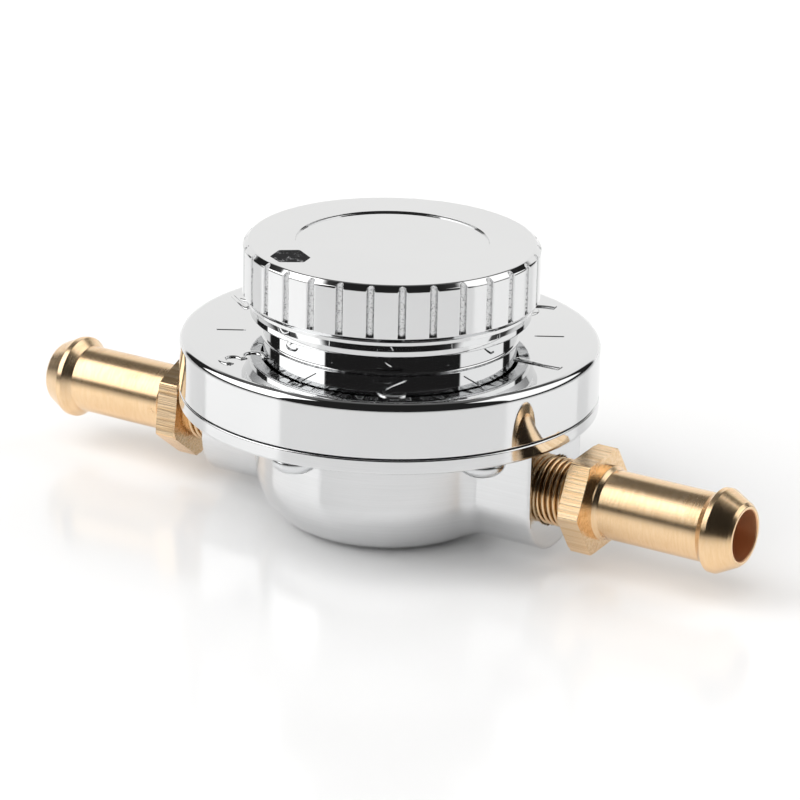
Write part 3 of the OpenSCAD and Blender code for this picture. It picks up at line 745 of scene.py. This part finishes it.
print("dial:", len(mesh.polygons), "faces,", int((pressed_in > cast_press).sum()), "points in flutes")

# %% [markdown]
# ## The pointer's paint
# The paint is a thin slab that nearly fills the pocket. It lies a hair below the plating, so that a bright
# rim stays round it.

# %% The paint in the pocket
paint = Skin()
paint_share, paint_low, paint_top = 0.996, pocket_z + 0.01, dial_top - 0.05
slab = pocket.mean(0) + (pocket - pocket.mean(0)) * paint_share
prism_wall(paint, slab, paint_low, paint_top, False)
prism_lid(paint, slab, paint_top, (0, 0, 1))
prism_lid(paint, slab, paint_low, (0, 0, -1))
pointer = paint.piece("pointer_paint", black)
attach(pointer, "dial")
print("pointer:", len(pointer.data.polygons), "faces")

# %% [markdown]
# ## The cover
# The cover is a bonnet with a wide flat top and a neck. It is one closed section with a hollow for the
# spring. The upper edge has a large round, in which the photograph shows a dark line: the round sweeps
# from the bright floor to the dark room behind the camera.

# %% The cover
hollow_r, hollow_top, stem_bore_r, neck_roof = 22.5, cover_top - 2.5, 6.05, 35.0
cover_section = [
    (hollow_r, cover_z, 0), (seam_lip_r, cover_z, 0), (seam_lip_r, cover_z - seam_lip_h, 0.06),
    (housing_r, cover_z - seam_lip_h, seam_round), (housing_r, cover_top, 1.3), (neck_r, cover_top, 0.4),
    (neck_r, neck_top, 0.4), (stem_bore_r, neck_top, 0), (stem_bore_r, neck_roof, 0),
    (neck_bore_r, neck_roof, 0), (neck_bore_r, hollow_top, 0), (hollow_r, hollow_top, 0.5),
    (hollow_r, cover_z, 0),
]
cover_skin = Skin()
turned(cover_skin, cover_section, fine_ring, steps=8)
cover = cover_skin.piece("cover_bonnet", chrome)
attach(cover, "housing")
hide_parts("cover")
print("cover:", len(cover.data.polygons), "faces")

# %% [markdown]
# ## Marks on the cover: ticks and numbers
# Six ticks and the numbers one to six stand up from the cover in turn, every thirty degrees. The ticks
# repeat, so a tree sets one low rib round a circle. The numbers are plain text turned into a mesh, with
# their heads outwards, because they are read from the rim. Their strokes are cast round, so the text is
# drawn in and grown again by a wide bevel, and then pressed a little flatter.

# %% A tree that sets copies round a circle
ring_sizes = [("Count", COUNT), ("First", NUMBER), ("Finish", FINISH)]
ring_tree, make, given = new_tree("copies_round_a_circle", ring_sizes)
stations = make.add("GeometryNodePoints", None, {"Count": given["Count"]})
index = make.add("GeometryNodeInputIndex")
spun = make.vector(z=given["First"] + index * (2 * math.pi / given["Count"]))
copies = make.add("GeometryNodeInstanceOnPoints", None,
                  {"Points": stations, "Instance": given["Geometry"], "Rotation": spun})
end_tree(ring_tree, make, copies, given["Finish"])
print("ring tree:", len(ring_tree.nodes), "nodes")

# %% Ticks
tick = Skin()
tick_in, tick_out, tick_half, tick_h, tick_end, tick_sunk = 21.7, 26.25, 0.17, 0.1, 0.15, 0.01
arch = np.radians(np.linspace(-61, 61, 11))
end_steps = np.radians([0, 20, 42, 66, 90])
ends = tick_end * (1 - np.cos(end_steps))
along_x = np.concatenate([tick_in + ends, tick_out - ends[::-1]])
fullness = np.concatenate([np.sin(end_steps), np.sin(end_steps)[::-1]])
tilt = np.concatenate([-np.cos(end_steps), np.cos(end_steps)[::-1]])
rise = tick_h * (np.cos(arch) - np.cos(arch[0])) / (1 - np.cos(arch[0]))
width = tick_half * np.sin(arch) / math.sin(arch[-1])
rib = [[(sx, f * w, cover_top - tick_sunk + f * h) for w, h in zip(width, rise)]
       for sx, f in zip(along_x, fullness)]
rib_facing = np.array([[(t, math.sin(a), math.cos(a)) for a in arch] for t in tilt])
tick.rows(rib, rib_facing / np.linalg.norm(rib_facing, axis=2, keepdims=True), closed=False)
ticks = tick.piece("cover_ticks")
between_numbers = math.radians(30 + mark_turn)
grow(ticks, ring_tree, Count=6, First=between_numbers, Finish=chrome)
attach(ticks, "housing")
print("ticks:", len(ticks.data.polygons), "faces")

# %% Numbers
number_size, number_r, number_sunk, flatter, stroke_r, drawn_in = 11, 25.2, 0.02, 0.6, 0.46, -0.38


def raised_number(text, degrees):
    """A number as a mesh, standing on the cover with its head outwards."""
    letter = bpy.data.curves.new("number_" + text, "FONT")
    letter.body, letter.size, letter.align_x, letter.align_y = text, number_size, "CENTER", "CENTER"
    letter.bevel_depth, letter.offset = stroke_r, drawn_in
    letter.bevel_resolution, letter.resolution_u = 5, 8
    carrier = bpy.data.objects.new("number_" + text, letter)
    bpy.context.scene.collection.objects.link(carrier)
    graph = bpy.context.evaluated_depsgraph_get()
    shape = bpy.data.meshes.new_from_object(carrier.evaluated_get(graph))
    bpy.data.objects.remove(carrier)
    corners = np.array([v.co for v in shape.vertices])
    centre_xy = (corners.min(0) + corners.max(0)) / 2
    shape.transform(Matrix.Scale(MM, 4) @ Matrix.Rotation(math.radians(degrees), 4, "Z")
                    @ Matrix.Translation((number_r, 0, cover_top - number_sunk))
                    @ Matrix.Scale(flatter, 4, (0, 0, 1)) @ Matrix.Rotation(math.radians(-90), 4, "Z")
                    @ Matrix.Translation((-centre_xy[0], -centre_xy[1], 0)))
    return shape


joined = bmesh.new()
for n, degrees in enumerate((0, 300, 240, 180, 120, 60)):
    joined.from_mesh(raised_number(str(n + 1), degrees + mark_turn))
bmesh.ops.remove_doubles(joined, verts=joined.verts, dist=1e-6)
bmesh.ops.recalc_face_normals(joined, faces=joined.faces)
number_mesh = bpy.data.meshes.new("cover_numbers")
joined.to_mesh(number_mesh)
joined.free()
numbers = new_piece("cover_numbers", number_mesh, chrome)
shaded_by_angle(numbers, 50)
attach(numbers, "housing")
print("numbers:", len(number_mesh.polygons), "faces")

# %% [markdown]
# ## The body casting
# The bowl runs into two port bosses through soft hollow rounds, which no simple section gives. So its shape
# is written as a distance: how far a point lies outside the metal. Two shapes are joined by taking the
# smaller distance, with a round where both are near. A net of small cells then finds the surface, and each
# point is drawn onto it exactly. Metaballs would do something like this, but not to measure.

# %% Distance to the casting
boss_w, boss_mid, boss_edge, blend_r = 7.4, 9.3, 0.3, 1.5
port_r, port_floor, port_edge = 5.2, 19.75, 0.12
chamber_r, chamber_z, valve_r, valve_z = 17, 15.5, 5.02, 3.5
inlet_r, outlet_r, passage_x, passage_end, tuck = 2, 2.6, 12, 22, 0.3


def joined_round(a, b, r):
    return np.maximum(r, np.minimum(a, b)) - np.hypot(np.maximum(r - a, 0), np.maximum(r - b, 0))


def met_round(a, b, r):
    return np.minimum(-r, np.maximum(a, b)) + np.hypot(np.maximum(r + a, 0), np.maximum(r + b, 0))


def casting(x, y, z):
    """How far a point lies outside the metal, in millimetres."""
    reach, from_port = np.hypot(x, y), np.hypot(y, z - port_z)
    outward, downward = reach - (bowl_r - bowl_round), bowl_round - z
    bowl = np.hypot(np.maximum(outward, 0), np.maximum(downward, 0)) - bowl_round
    bowl = bowl + np.minimum(np.maximum(outward, downward), 0)
    section = np.hypot(y, np.minimum(z - boss_mid, 0)) - boss_w
    boss = met_round(section, np.abs(x) - port_face, boss_edge)
    port = np.maximum(from_port - port_r, port_floor - np.abs(x))
    whole = met_round(joined_round(bowl, boss, blend_r), -port, port_edge)
    chamber = np.maximum(reach - chamber_r, chamber_z - z)
    valve_pocket = np.maximum(reach - valve_r, valve_z - z)
    inlet = np.maximum(from_port - inlet_r, np.maximum(x, -x - passage_end))
    outlet = np.maximum(from_port - outlet_r, np.maximum(passage_x - x, x - passage_end))
    drop = np.maximum(np.hypot(x - passage_x, y) - outlet_r, port_z - z)
    for hole in (chamber, valve_pocket, inlet, outlet, drop):
        whole = np.maximum(whole, -hole)
    return np.maximum(whole, z - (bowl_h + tuck))


print("distance at a point of the foot:", round(float(casting(8.0, 0.0, 0.0)), 4))

# %% A net of cells over the casting
def surface_net(field, low, high, cell):
    """A point in each cell that the surface crosses, and a quad for each grid edge that it cuts."""
    axes = [np.arange(a, b + cell, cell) for a, b in zip(low, high)]
    grid = field(*np.meshgrid(*axes, indexing="ij")) < 0
    n0, n1, n2 = grid.shape
    corners = sum(grid[i:n0 - 1 + i, j:n1 - 1 + j, k:n2 - 1 + k].astype(np.int8)
                  for i in (0, 1) for j in (0, 1) for k in (0, 1))
    active = (corners > 0) & (corners < 8)
    number = np.full(active.shape, -1)
    number[active] = np.arange(active.sum())
    points = np.stack([axes[n][where] + cell / 2 for n, where in enumerate(np.nonzero(active))], -1)
    quads = []
    for n in range(3):
        a, b = (n + 1) % 3, (n + 2) % 3
        metal = np.moveaxis(grid, (n, a, b), (0, 1, 2))
        cells = np.moveaxis(number, (n, a, b), (0, 1, 2))
        i, j, k = np.nonzero((metal[:-1] != metal[1:])[:, 1:-1, 1:-1])
        around = [cells[i, j, k], cells[i, j + 1, k], cells[i, j + 1, k + 1], cells[i, j, k + 1]]
        quads.append(np.stack(around, -1))
    return points, np.concatenate(quads)


def slope_of(field, points, h=0.004):
    parts = [field(*(points + h * unit).T) - field(*(points - h * unit).T) for unit in np.eye(3)]
    grad = np.stack(parts, -1)
    return grad / np.maximum(np.linalg.norm(grad, axis=1, keepdims=True), 1e-9)


def drawn_on(field, points, times):
    for _ in range(times):
        points = points - field(*points.T)[:, None] * slope_of(field, points)
    return points


cell, net_low, net_high = 0.36, (-30.0, -21.0, -0.6), (30.0, 21.0, 19.9)
spots, quads = surface_net(casting, net_low, net_high, cell)
spots = drawn_on(casting, spots, 5)
for _ in range(3):
    total, count = np.zeros_like(spots), np.zeros(len(spots))
    for a, b in ((0, 1), (1, 2), (2, 3), (3, 0), (1, 0), (2, 1), (3, 2), (0, 3)):
        np.add.at(total, quads[:, a], spots[quads[:, b]])
        np.add.at(count, quads[:, a], 1)
    neighbours = total / np.maximum(count, 1)[:, None]
    spots = drawn_on(casting, spots * 0.5 + neighbours * 0.5, 3)
print("casting net:", len(spots), "points,", len(quads), "quads")

# %% [markdown]
# ## The flange and the whole body
# The flange is a plain turned ring, so it is spun as before and sewn into the same mesh. The net's points
# carry the slope of the distance as their direction, so the bowl mirrors as smoothly as a turned piece.

# %% The body
body_skin = Skin()
body_skin.polygons(spots, quads, slope_of(casting, spots)[quads])
flange_in, flange_low = 19.0, 18.6
flange = [
    (chamber_r, flange_low, 0), (flange_in, flange_low, 0), (flange_in, bowl_h, 0), (housing_r, bowl_h, 0.4),
    (housing_r, flange_top + seam_lip_h, seam_round), (seam_lip_r, flange_top + seam_lip_h, 0.06),
    (seam_lip_r, flange_top, 0), (chamber_r, flange_top, 0), (chamber_r, flange_low, 0),
]
turned(body_skin, flange, fine_ring, steps=8)
body = body_skin.piece("body_casting", satin)
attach(body, "housing")
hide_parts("body")
print("body:", len(body.data.polygons), "faces")

# %% [markdown]
# ## The hose barbs
# Each barb is turned from hexagon bar: a pipe thread, the hexagon, a small collar, the shank and a
# one-step head. The turned part is a section, and the hexagon is a ring whose radius follows the flats
# and dips under a cone at both faces, where the corners were turned off.

# %% Section and hexagon of a barb
hex_x, shank_x, tip_x, root_r = port_face + 4.95, port_face + 8.45, 61.25, 4.62
tail_x, head_x, land_x, collar_r, shank_r, head_r = 20.35, 57.0, 57.8, 5.65, 5.2, 6.375
barb_section = [
    (bore_r, tail_x, 0), (root_r - 0.35, tail_x, 0), (root_r, tail_x + 0.35, 0.1), (root_r, hex_x + 0.3, 0),
    (collar_r, hex_x + 0.3, 0), (collar_r, shank_x + 1.0, 0.15), (shank_r, shank_x + 1.6, 0.25),
    (shank_r, head_x - 1.25, 0.12), (head_r, head_x, 0.12), (head_r, land_x, 0.3), (4.875, tip_x - 0.5, 0.15),
    (4.4, tip_x, 0.25), (bore_r + 0.1, tip_x, 0.1), (bore_r, tip_x - 0.2, 0), (bore_r, tail_x, 0),
]
hex_flats, hex_hole_r, corner_at, corner_drop = 14.29, 4.3, 28.6, 0.06
hex_half, hex_corner = hex_flats / 2, hex_flats / math.sqrt(3)
port_bevel, hose_bevel, cone_facing = (0.4, 0.24), (0.2, 0.12), (0.75, 0.66)


def hexagon_radius(angles):
    """Radius of the hexagon with slightly rounded corners, and the direction that its surface faces."""
    away = (angles + math.pi / 6) % (math.pi / 3) - math.pi / 6
    blunt = np.clip((np.abs(away) - math.radians(corner_at)) / math.radians(30 - corner_at), 0, 1)
    facing_angle = angles - away + np.sign(away) * blunt * math.radians(30)
    return hex_half / np.cos(away) - corner_drop * blunt ** 2, facing_angle


def barb_hexagon(skin, turn, flip):
    one_flat = np.concatenate([np.linspace(-30, -corner_at, 4), np.linspace(-24, 24, 9),
                               np.linspace(corner_at, corner_at + 1, 3)])
    angles = np.radians(np.concatenate([one_flat + 60 * n for n in range(6)]))
    radius, facing_angle = hexagon_radius(angles)
    spun = angles + math.radians(turn)
    faced = facing_angle + math.radians(turn)

    def row(x, r):
        return np.stack([np.full(len(spun), flip * x), r * np.cos(spun), r * np.sin(spun) + port_z], -1)

    def aim(x_part, r_part, around):
        level = np.full(len(spun), flip * x_part)
        return np.stack([level, r_part * np.cos(around), r_part * np.sin(around)], -1)

    flats = aim(0, 1, faced)
    for face_x, looks, (bevel, depth) in ((hex_x, -1, port_bevel), (shank_x, 1, hose_bevel)):
        edge_r = np.minimum(radius, hex_corner - bevel)
        skin.rows(np.stack([row(face_x, hex_hole_r), row(face_x, edge_r)]), aim(looks, 0, spun))
        on_cone_facing = aim(looks * cone_facing[0], cone_facing[1], spun)
        places, aims = [], []
        for t in np.linspace(0, 1, 9):
            cone = hex_corner - bevel * (1 - t)
            places.append(row(face_x - looks * depth * t, np.minimum(radius, cone)))
            aims.append(np.where((cone < radius)[:, None], on_cone_facing, flats))
        skin.rows(np.stack(places), np.stack(aims))
    sides = np.stack([row(hex_x + port_bevel[1], radius), row(shank_x - hose_bevel[1], radius)])
    skin.rows(sides, np.stack([flats, flats]))


print("hexagon over corners:", round(2 * hex_corner, 2), "mm")

# %% [markdown]
# ## The pipe thread
# A thread follows a path: a ridge that climbs along a helix. In Geometry Nodes a spiral curve carries a
# blunt ridge section, and named inputs give its pitch, length and radii. The tree also lays it along the
# port axis. The barb on the other side gets the same thread turned half round, so both are right-handed.

# %% The thread tree
thread_sizes = [("Root", NUMBER), ("Crest", NUMBER), ("Pitch", NUMBER), ("Length", NUMBER), ("Start", NUMBER),
                ("Axis height", NUMBER), ("Turn", NUMBER), ("Finish", FINISH)]
thread_tree, make, given = new_tree("pipe_thread", thread_sizes)
helix = make.add("GeometryNodeCurveSpiral", None, {
    "Resolution": 90, "Rotations": given["Length"] / given["Pitch"], "Start Radius": given["Root"],
    "End Radius": given["Root"], "Height": given["Length"], "Reverse": True,
})
held_up = make.add("GeometryNodeSetCurveNormal", {"mode": "Z_UP"}, {"Curve": helix})
ridge = given["Crest"] - given["Root"]
foot, crest = given["Pitch"] * 0.49, given["Pitch"] * 0.07
corners = ((0.0, foot * -1), (ridge, crest * -1), (ridge, crest), (0.0, foot))
profile = make.add("GeometryNodeCurvePrimitiveQuadrilateral", {"mode": "POINTS"},
                   {f"Point {n + 1}": make.vector(*corner) for n, corner in enumerate(corners)})
shape = make.add("GeometryNodeCurveToMesh", None,
                 {"Curve": held_up, "Profile Curve": profile, "Fill Caps": True})
moves = (
    {"Translation": make.vector(z=given["Start"])},
    {"Rotation": (0, math.radians(90), 0)},
    {"Translation": make.vector(z=given["Axis height"]), "Rotation": make.vector(z=given["Turn"])},
)
for move in moves:
    shape = make.add("GeometryNodeTransform", None, {"Geometry": shape, **move})
end_tree(thread_tree, make, shape, given["Finish"])
print("thread tree:", len(thread_tree.nodes), "nodes")

# %% Both barbs
thread_r, thread_pitch, thread_length, thread_x = 5.15, 0.94, 13.2, 20.9
# The inlet's hexagon is turned seven degrees from its solid's, because the photograph shows it so.
for node, flip, hex_turn in (("inlet_barb", -1, -7), ("outlet_barb", 1, 34)):
    port_name = node.split("_")[0]
    tube = Skin()
    turned(tube, barb_section, ring_of(128), "X", flip)
    stem = tube.piece(port_name + "_hose_barb", turned_brass)
    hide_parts(node)
    nut = Skin()
    barb_hexagon(nut, hex_turn, flip)
    collar = nut.piece(port_name + "_hexagon", drawn_brass)
    thread = new_piece(port_name + "_thread", bpy.data.meshes.new(port_name + "_thread"))
    grow(thread, thread_tree, **{
        "Root": root_r * MM, "Crest": thread_r * MM, "Pitch": thread_pitch * MM, "Length": thread_length * MM,
        "Start": thread_x * MM, "Axis height": port_z * MM, "Turn": 0.0 if flip > 0 else math.pi,
        "Finish": turned_brass,
    })
    for piece in (stem, collar, thread):
        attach(piece, "housing")
        print(piece.name, "has", len(piece.data.polygons), "faces")
    reach = max(math.hypot(v.co.y, v.co.z - port_z * MM) for v in thread.data.vertices)
    print(port_name, "thread reaches r", round(reach / MM, 2), "mm")

# %% [markdown]
# ## The cover screws
# Six domed screws come up from below through the flange. Two of them show as bright half rounds under it.
# One screw is turned, its cross is cut with a Boolean, and the ring tree sets the six round the flange.

# %% A helper that cuts
def cut_with(piece, tool, operation="DIFFERENCE"):
    """Cuts a piece with a bmesh tool by a Boolean, and clears the tool away."""
    tool_mesh = bpy.data.meshes.new("tool")
    tool.to_mesh(tool_mesh)
    tool.free()
    cutter = new_piece("tool", tool_mesh)
    cut = piece.modifiers.new("cut", "BOOLEAN")
    cut.object, cut.operation, cut.solver, cut.use_self = cutter, operation, "EXACT", True
    settled(piece)
    bpy.data.objects.remove(cutter)
    return piece


print("cutter ready")

# %% One screw, six times
screw = Skin()
screw_circle, dome_r, shaft_r, shaft_top = 27.4, 3.5, 2.08, 27.1
dome = [(0, 16.2), (0.9, 16.26), (1.75, 16.43), (2.5, 16.74), (3.05, 17.15), (3.38, 17.62), (dome_r, 18.0)]
shaft = [(dome_r, bowl_h, 0), (shaft_r, bowl_h, 0), (shaft_r, shaft_top, 0.3), (0, shaft_top, 0)]
dome_section = [(r, h, 0 if r in (0, dome_r) else 0.35) for r, h in dome]
turned(screw, dome_section + shaft, ring_of(64), steps=3)
screws = screw.piece("cover_screw_set")
cross = bmesh.new()
slot_z, slot_size = 16.4 * MM, Matrix.Diagonal((4 * MM, 0.8 * MM, 2.4 * MM, 1))
for turn in (20, 110):
    slot_place = Matrix.Rotation(math.radians(turn), 4, "Z") @ Matrix.Translation((0, 0, slot_z))
    bmesh.ops.create_cube(cross, size=1, matrix=slot_place @ slot_size)
cut_with(screws, cross)
screws.data.transform(Matrix.Translation((screw_circle * MM, 0, 0)))
grow(screws, ring_tree, Count=6, First=between_numbers, Finish=steel)
shaded_by_angle(screws)
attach(screws, "housing")
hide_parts("cover_screws")
print("screws:", len(screws.data.polygons), "faces")

# %% [markdown]
# ## The pieces inside
# The stem, plates and valve keep their solids: they lie out of sight inside, and their shapes are right. They
# only take the finishes made above, by the material slot that the record names for each.

# %% Finishes of the pieces inside
finish_of = {
    "steel": steel, "brass": turned_brass, "rubber": rubber, "bright_chrome": chrome, "satin_chrome": satin,
}
slot_of = {part["node"]: part["material_slot"] for part in frame["record"]["subparts"]}
for node, slot in slot_of.items():
    nodes[node].data.materials.clear()
    nodes[node].data.materials.append(finish_of[slot])
print("finishes on", len(slot_of), "solids")

# %% [markdown]
# ## Springs and diaphragm, cut in parts
# Both springs and the diaphragm change their height when a joint moves, so no single body carries them.
# Their solids are right at rest, so copies of them are cut where the real piece stands still: the main
# spring low down, the diaphragm along the crown of its fold. The parts keep their rest shape where they
# stand, and the diaphragm's rim is attached to the housing.

# %% Copies of solids, cut by a drum
def part_of_solid(node, name, radius, top, operation):
    """What lies in an upright drum (INTERSECT) or outside it (DIFFERENCE), of a merged copy of a solid."""
    copy = bmesh.new()
    copy.from_mesh(nodes[node].data)
    bmesh.ops.remove_doubles(copy, verts=copy.verts, dist=1e-7)
    mesh = bpy.data.meshes.new(name)
    copy.to_mesh(mesh)
    copy.free()
    drum = bmesh.new()
    bmesh.ops.create_cone(drum, cap_ends=True, segments=96, radius1=radius * MM, radius2=radius * MM,
                          depth=top * MM, matrix=Matrix.Translation((0, 0, top * MM / 2)))
    slot_name = slot_of[node]
    part = cut_with(new_piece(name, mesh, finish_of[slot_name]), drum, operation)
    shaded_by_angle(part)
    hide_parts(node)
    print(name, "has", len(part.data.polygons), "faces")
    return part


spring_cut, crown_r, crown_z, all_round = 24.2, 18.3, 24.0, 40
low_coils = part_of_solid("main_spring", "main_spring_lower", all_round, spring_cut, "INTERSECT")
high_coils = part_of_solid("main_spring", "main_spring_upper", all_round, spring_cut, "DIFFERENCE")
valve_coils = part_of_solid("valve_spring", "valve_spring_coils", all_round, all_round, "INTERSECT")
rubber_middle = part_of_solid("diaphragm", "diaphragm_middle", crown_r, all_round, "INTERSECT")
rubber_rim = part_of_solid("diaphragm", "diaphragm_rim", crown_r, all_round, "DIFFERENCE")

# %% The cut parts, baked in place
def stretch(part, body, still_z, moving_z):
    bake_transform(part)


spring_foot, spring_head = (corner.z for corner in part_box("main_spring"))
valve_foot, valve_head = (corner.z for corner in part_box("valve_spring"))
stretch(low_coils, "diaphragm_set", spring_cut * MM, spring_foot)
stretch(high_coils, "follower", spring_cut * MM, spring_head)
stretch(valve_coils, "poppet", valve_foot, valve_head)
stretch(rubber_middle, "diaphragm_set", crown_z * MM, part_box("upper_plate")[0].z)
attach(rubber_rim, "housing")
print("spring from", round(spring_foot / MM, 2), "to", round(spring_head / MM, 2), "mm")

# %% [markdown]
# ## Floor and studio
# The part stands on a white, faintly glossy table. Chrome shows the room, so the room matters as much as
# the light: two tall bright walls at the sides, the left one stronger, which leave a dark gap above the
# table, a pale backdrop behind, a dim ceiling over the part, and darkness on the camera's side. The world
# shader draws that room by direction only, so nothing stands in any view. Two soft lamps, overhead and in
# front, light the table, and the plating does not mirror them.

# %% The floor
table_r, table_sides, table_z = 2.2, 96, -0.00002
floor_mesh = bpy.data.meshes.new("table_top")
rim_points = [(x, y, table_z) for x, y in circle(table_r, ring_of(table_sides)).tolist()]
floor_mesh.from_pydata(rim_points, [], [list(range(table_sides))])


def table_white(tree):
    here = tree.place()
    cloud = tree.noise(here, 9, 3)
    fine = tree.noise(here, 1500, 2)
    return {
        "Base Color": tree.tint(cloud, (0.91, 0.91, 0.91), (0.925, 0.925, 0.925)),
        "Roughness": 0.12 + cloud * 0.05,
        "Specular IOR Level": 0.3,
        "Normal": tree.bump(fine, 2e-6),
    }


floor = new_piece("table_top", floor_mesh, finish("table_white", table_white))
print("floor:", 2 * table_r, "m across")

# %% [markdown]
# ## The room as a world shader
# The camera's direction is fixed, so the room is laid out by the angle from it. Each wall is a product of
# two soft steps, one by angle and one by height. All these angles are in degrees.

# %% The room
view_turn, view_rise = math.radians(31.73), math.radians(19.71)
world = bpy.data.worlds.new("studio")
bpy.context.scene.world = world
world.use_nodes = True
world.node_tree.nodes.clear()
room = Tree(world.node_tree)
looking = room.add("ShaderNodeTexCoord", out="Generated")
dx, dy, dz = room.parts(looking)
ahead = dx * math.sin(view_turn) - dy * math.cos(view_turn)
aside = dx * math.cos(view_turn) + dy * math.sin(view_turn)
round_angle = aside.math("ABSOLUTE").math("ARCTAN2", ahead) * (180 / math.pi)
height = dz.math("ARCSINE") * (180 / math.pi)
soft_edge = 1.2


def band(value, low, high):
    """1 between two angles, 0 outside them, with soft edges."""
    risen = room.between(value, low - soft_edge, low + soft_edge)
    return risen * (1 - room.between(value, high - soft_edge, high + soft_edge))


gloom, table_glow = 0.02, 0.95
hand = aside.math("SIGN")
tall = room.between(height, 10, 15) * (1 - room.between(height, 59, 63))
walls = band(round_angle - hand * 3, 64, 122) * tall * (1.8 - hand * 0.42)
backdrop = room.between(round_angle, 138, 143) * (1 - room.between(height, 34, 42))
overhead = room.between(height, 30, 60) * (1 - room.between(ahead, -0.2, 0.1)) * 0.14
below = 1 - room.between(height, -4, -1)
glow = gloom + walls + backdrop + overhead + below * table_glow
shine = room.add("ShaderNodeBackground", None, {"Color": (1.0, 0.995, 0.985, 1), "Strength": glow})
room.tree.links.new(shine.out, room.tree.nodes.new("ShaderNodeOutputWorld").inputs["Surface"])
bpy.context.scene.view_settings.view_transform = "Standard"
print("room:", len(room.tree.nodes), "nodes")

# %% The lamps
def direction(turn, rise):
    """A unit vector: turn counts from the front about Z, and rise from level, both in radians."""
    level_part = math.cos(rise)
    return Vector((math.sin(turn) * level_part, -math.cos(turn) * level_part, math.sin(rise)))


lamp_spread = math.radians(80)
for lamp_name, energy, rise, leftward in (("ceiling_softbox", 0.45, 90, 0), ("front_fill", 2.3, 42, 30)):
    lamp = bpy.data.lights.new(lamp_name, "SUN")
    lamp.energy, lamp.angle = energy, lamp_spread
    softbox = bpy.data.objects.new(lamp_name, lamp)
    towards = direction(view_turn - math.radians(leftward), math.radians(rise))
    softbox.rotation_euler = towards.to_track_quat("Z", "Y").to_euler()
    softbox.visible_glossy = False
    bpy.context.scene.collection.objects.link(softbox)
    print("lamp:", lamp_name, "of", energy, "W per square metre")

# %% [markdown]
# ## The camera
# The photograph was solved for its camera: a long lens, about twenty degrees above the table, turned a
# little more than a third of a right angle from the front. The picture is taken to be 800 by 800.

# %% The camera
focal_px, picture, roll, stand_off, sensor_mm = 4226.8, 800, math.radians(1.28), 0.6393, 36
aim_at, aim_pixel = Vector((0, 0, 0.0215)), (389.18, 384.84)
back = direction(view_turn, view_rise)
level = Vector((math.cos(view_turn), math.sin(view_turn), 0))
upward = back.cross(level)
right_way = level * math.cos(roll) + upward * math.sin(roll)
up_way = upward * math.cos(roll) - level * math.sin(roll)
pan = math.atan((aim_pixel[0] - picture / 2) / focal_px)
tip = math.atan((aim_pixel[1] - picture / 2) / focal_px)
forward = -back * math.cos(pan) - right_way * math.sin(pan)
across_way = right_way * math.cos(pan) - back * math.sin(pan)
sight = forward * math.cos(tip) + up_way * math.sin(tip)
top_way = up_way * math.cos(tip) - forward * math.sin(tip)
lens = bpy.data.cameras.new("camera")
lens.sensor_width, lens.lens = sensor_mm, sensor_mm * focal_px / picture
lens.clip_start, lens.clip_end = 0.01, 20
camera = bpy.data.objects.new("camera", lens)
frame_axes = Matrix((across_way, top_way, -sight)).transposed().to_4x4()
camera.matrix_world = Matrix.Translation(aim_at + back * stand_off) @ frame_axes
bpy.context.scene.collection.objects.link(camera)
bpy.context.scene.camera = camera
print("camera at", [round(v, 3) for v in camera.matrix_world.translation])
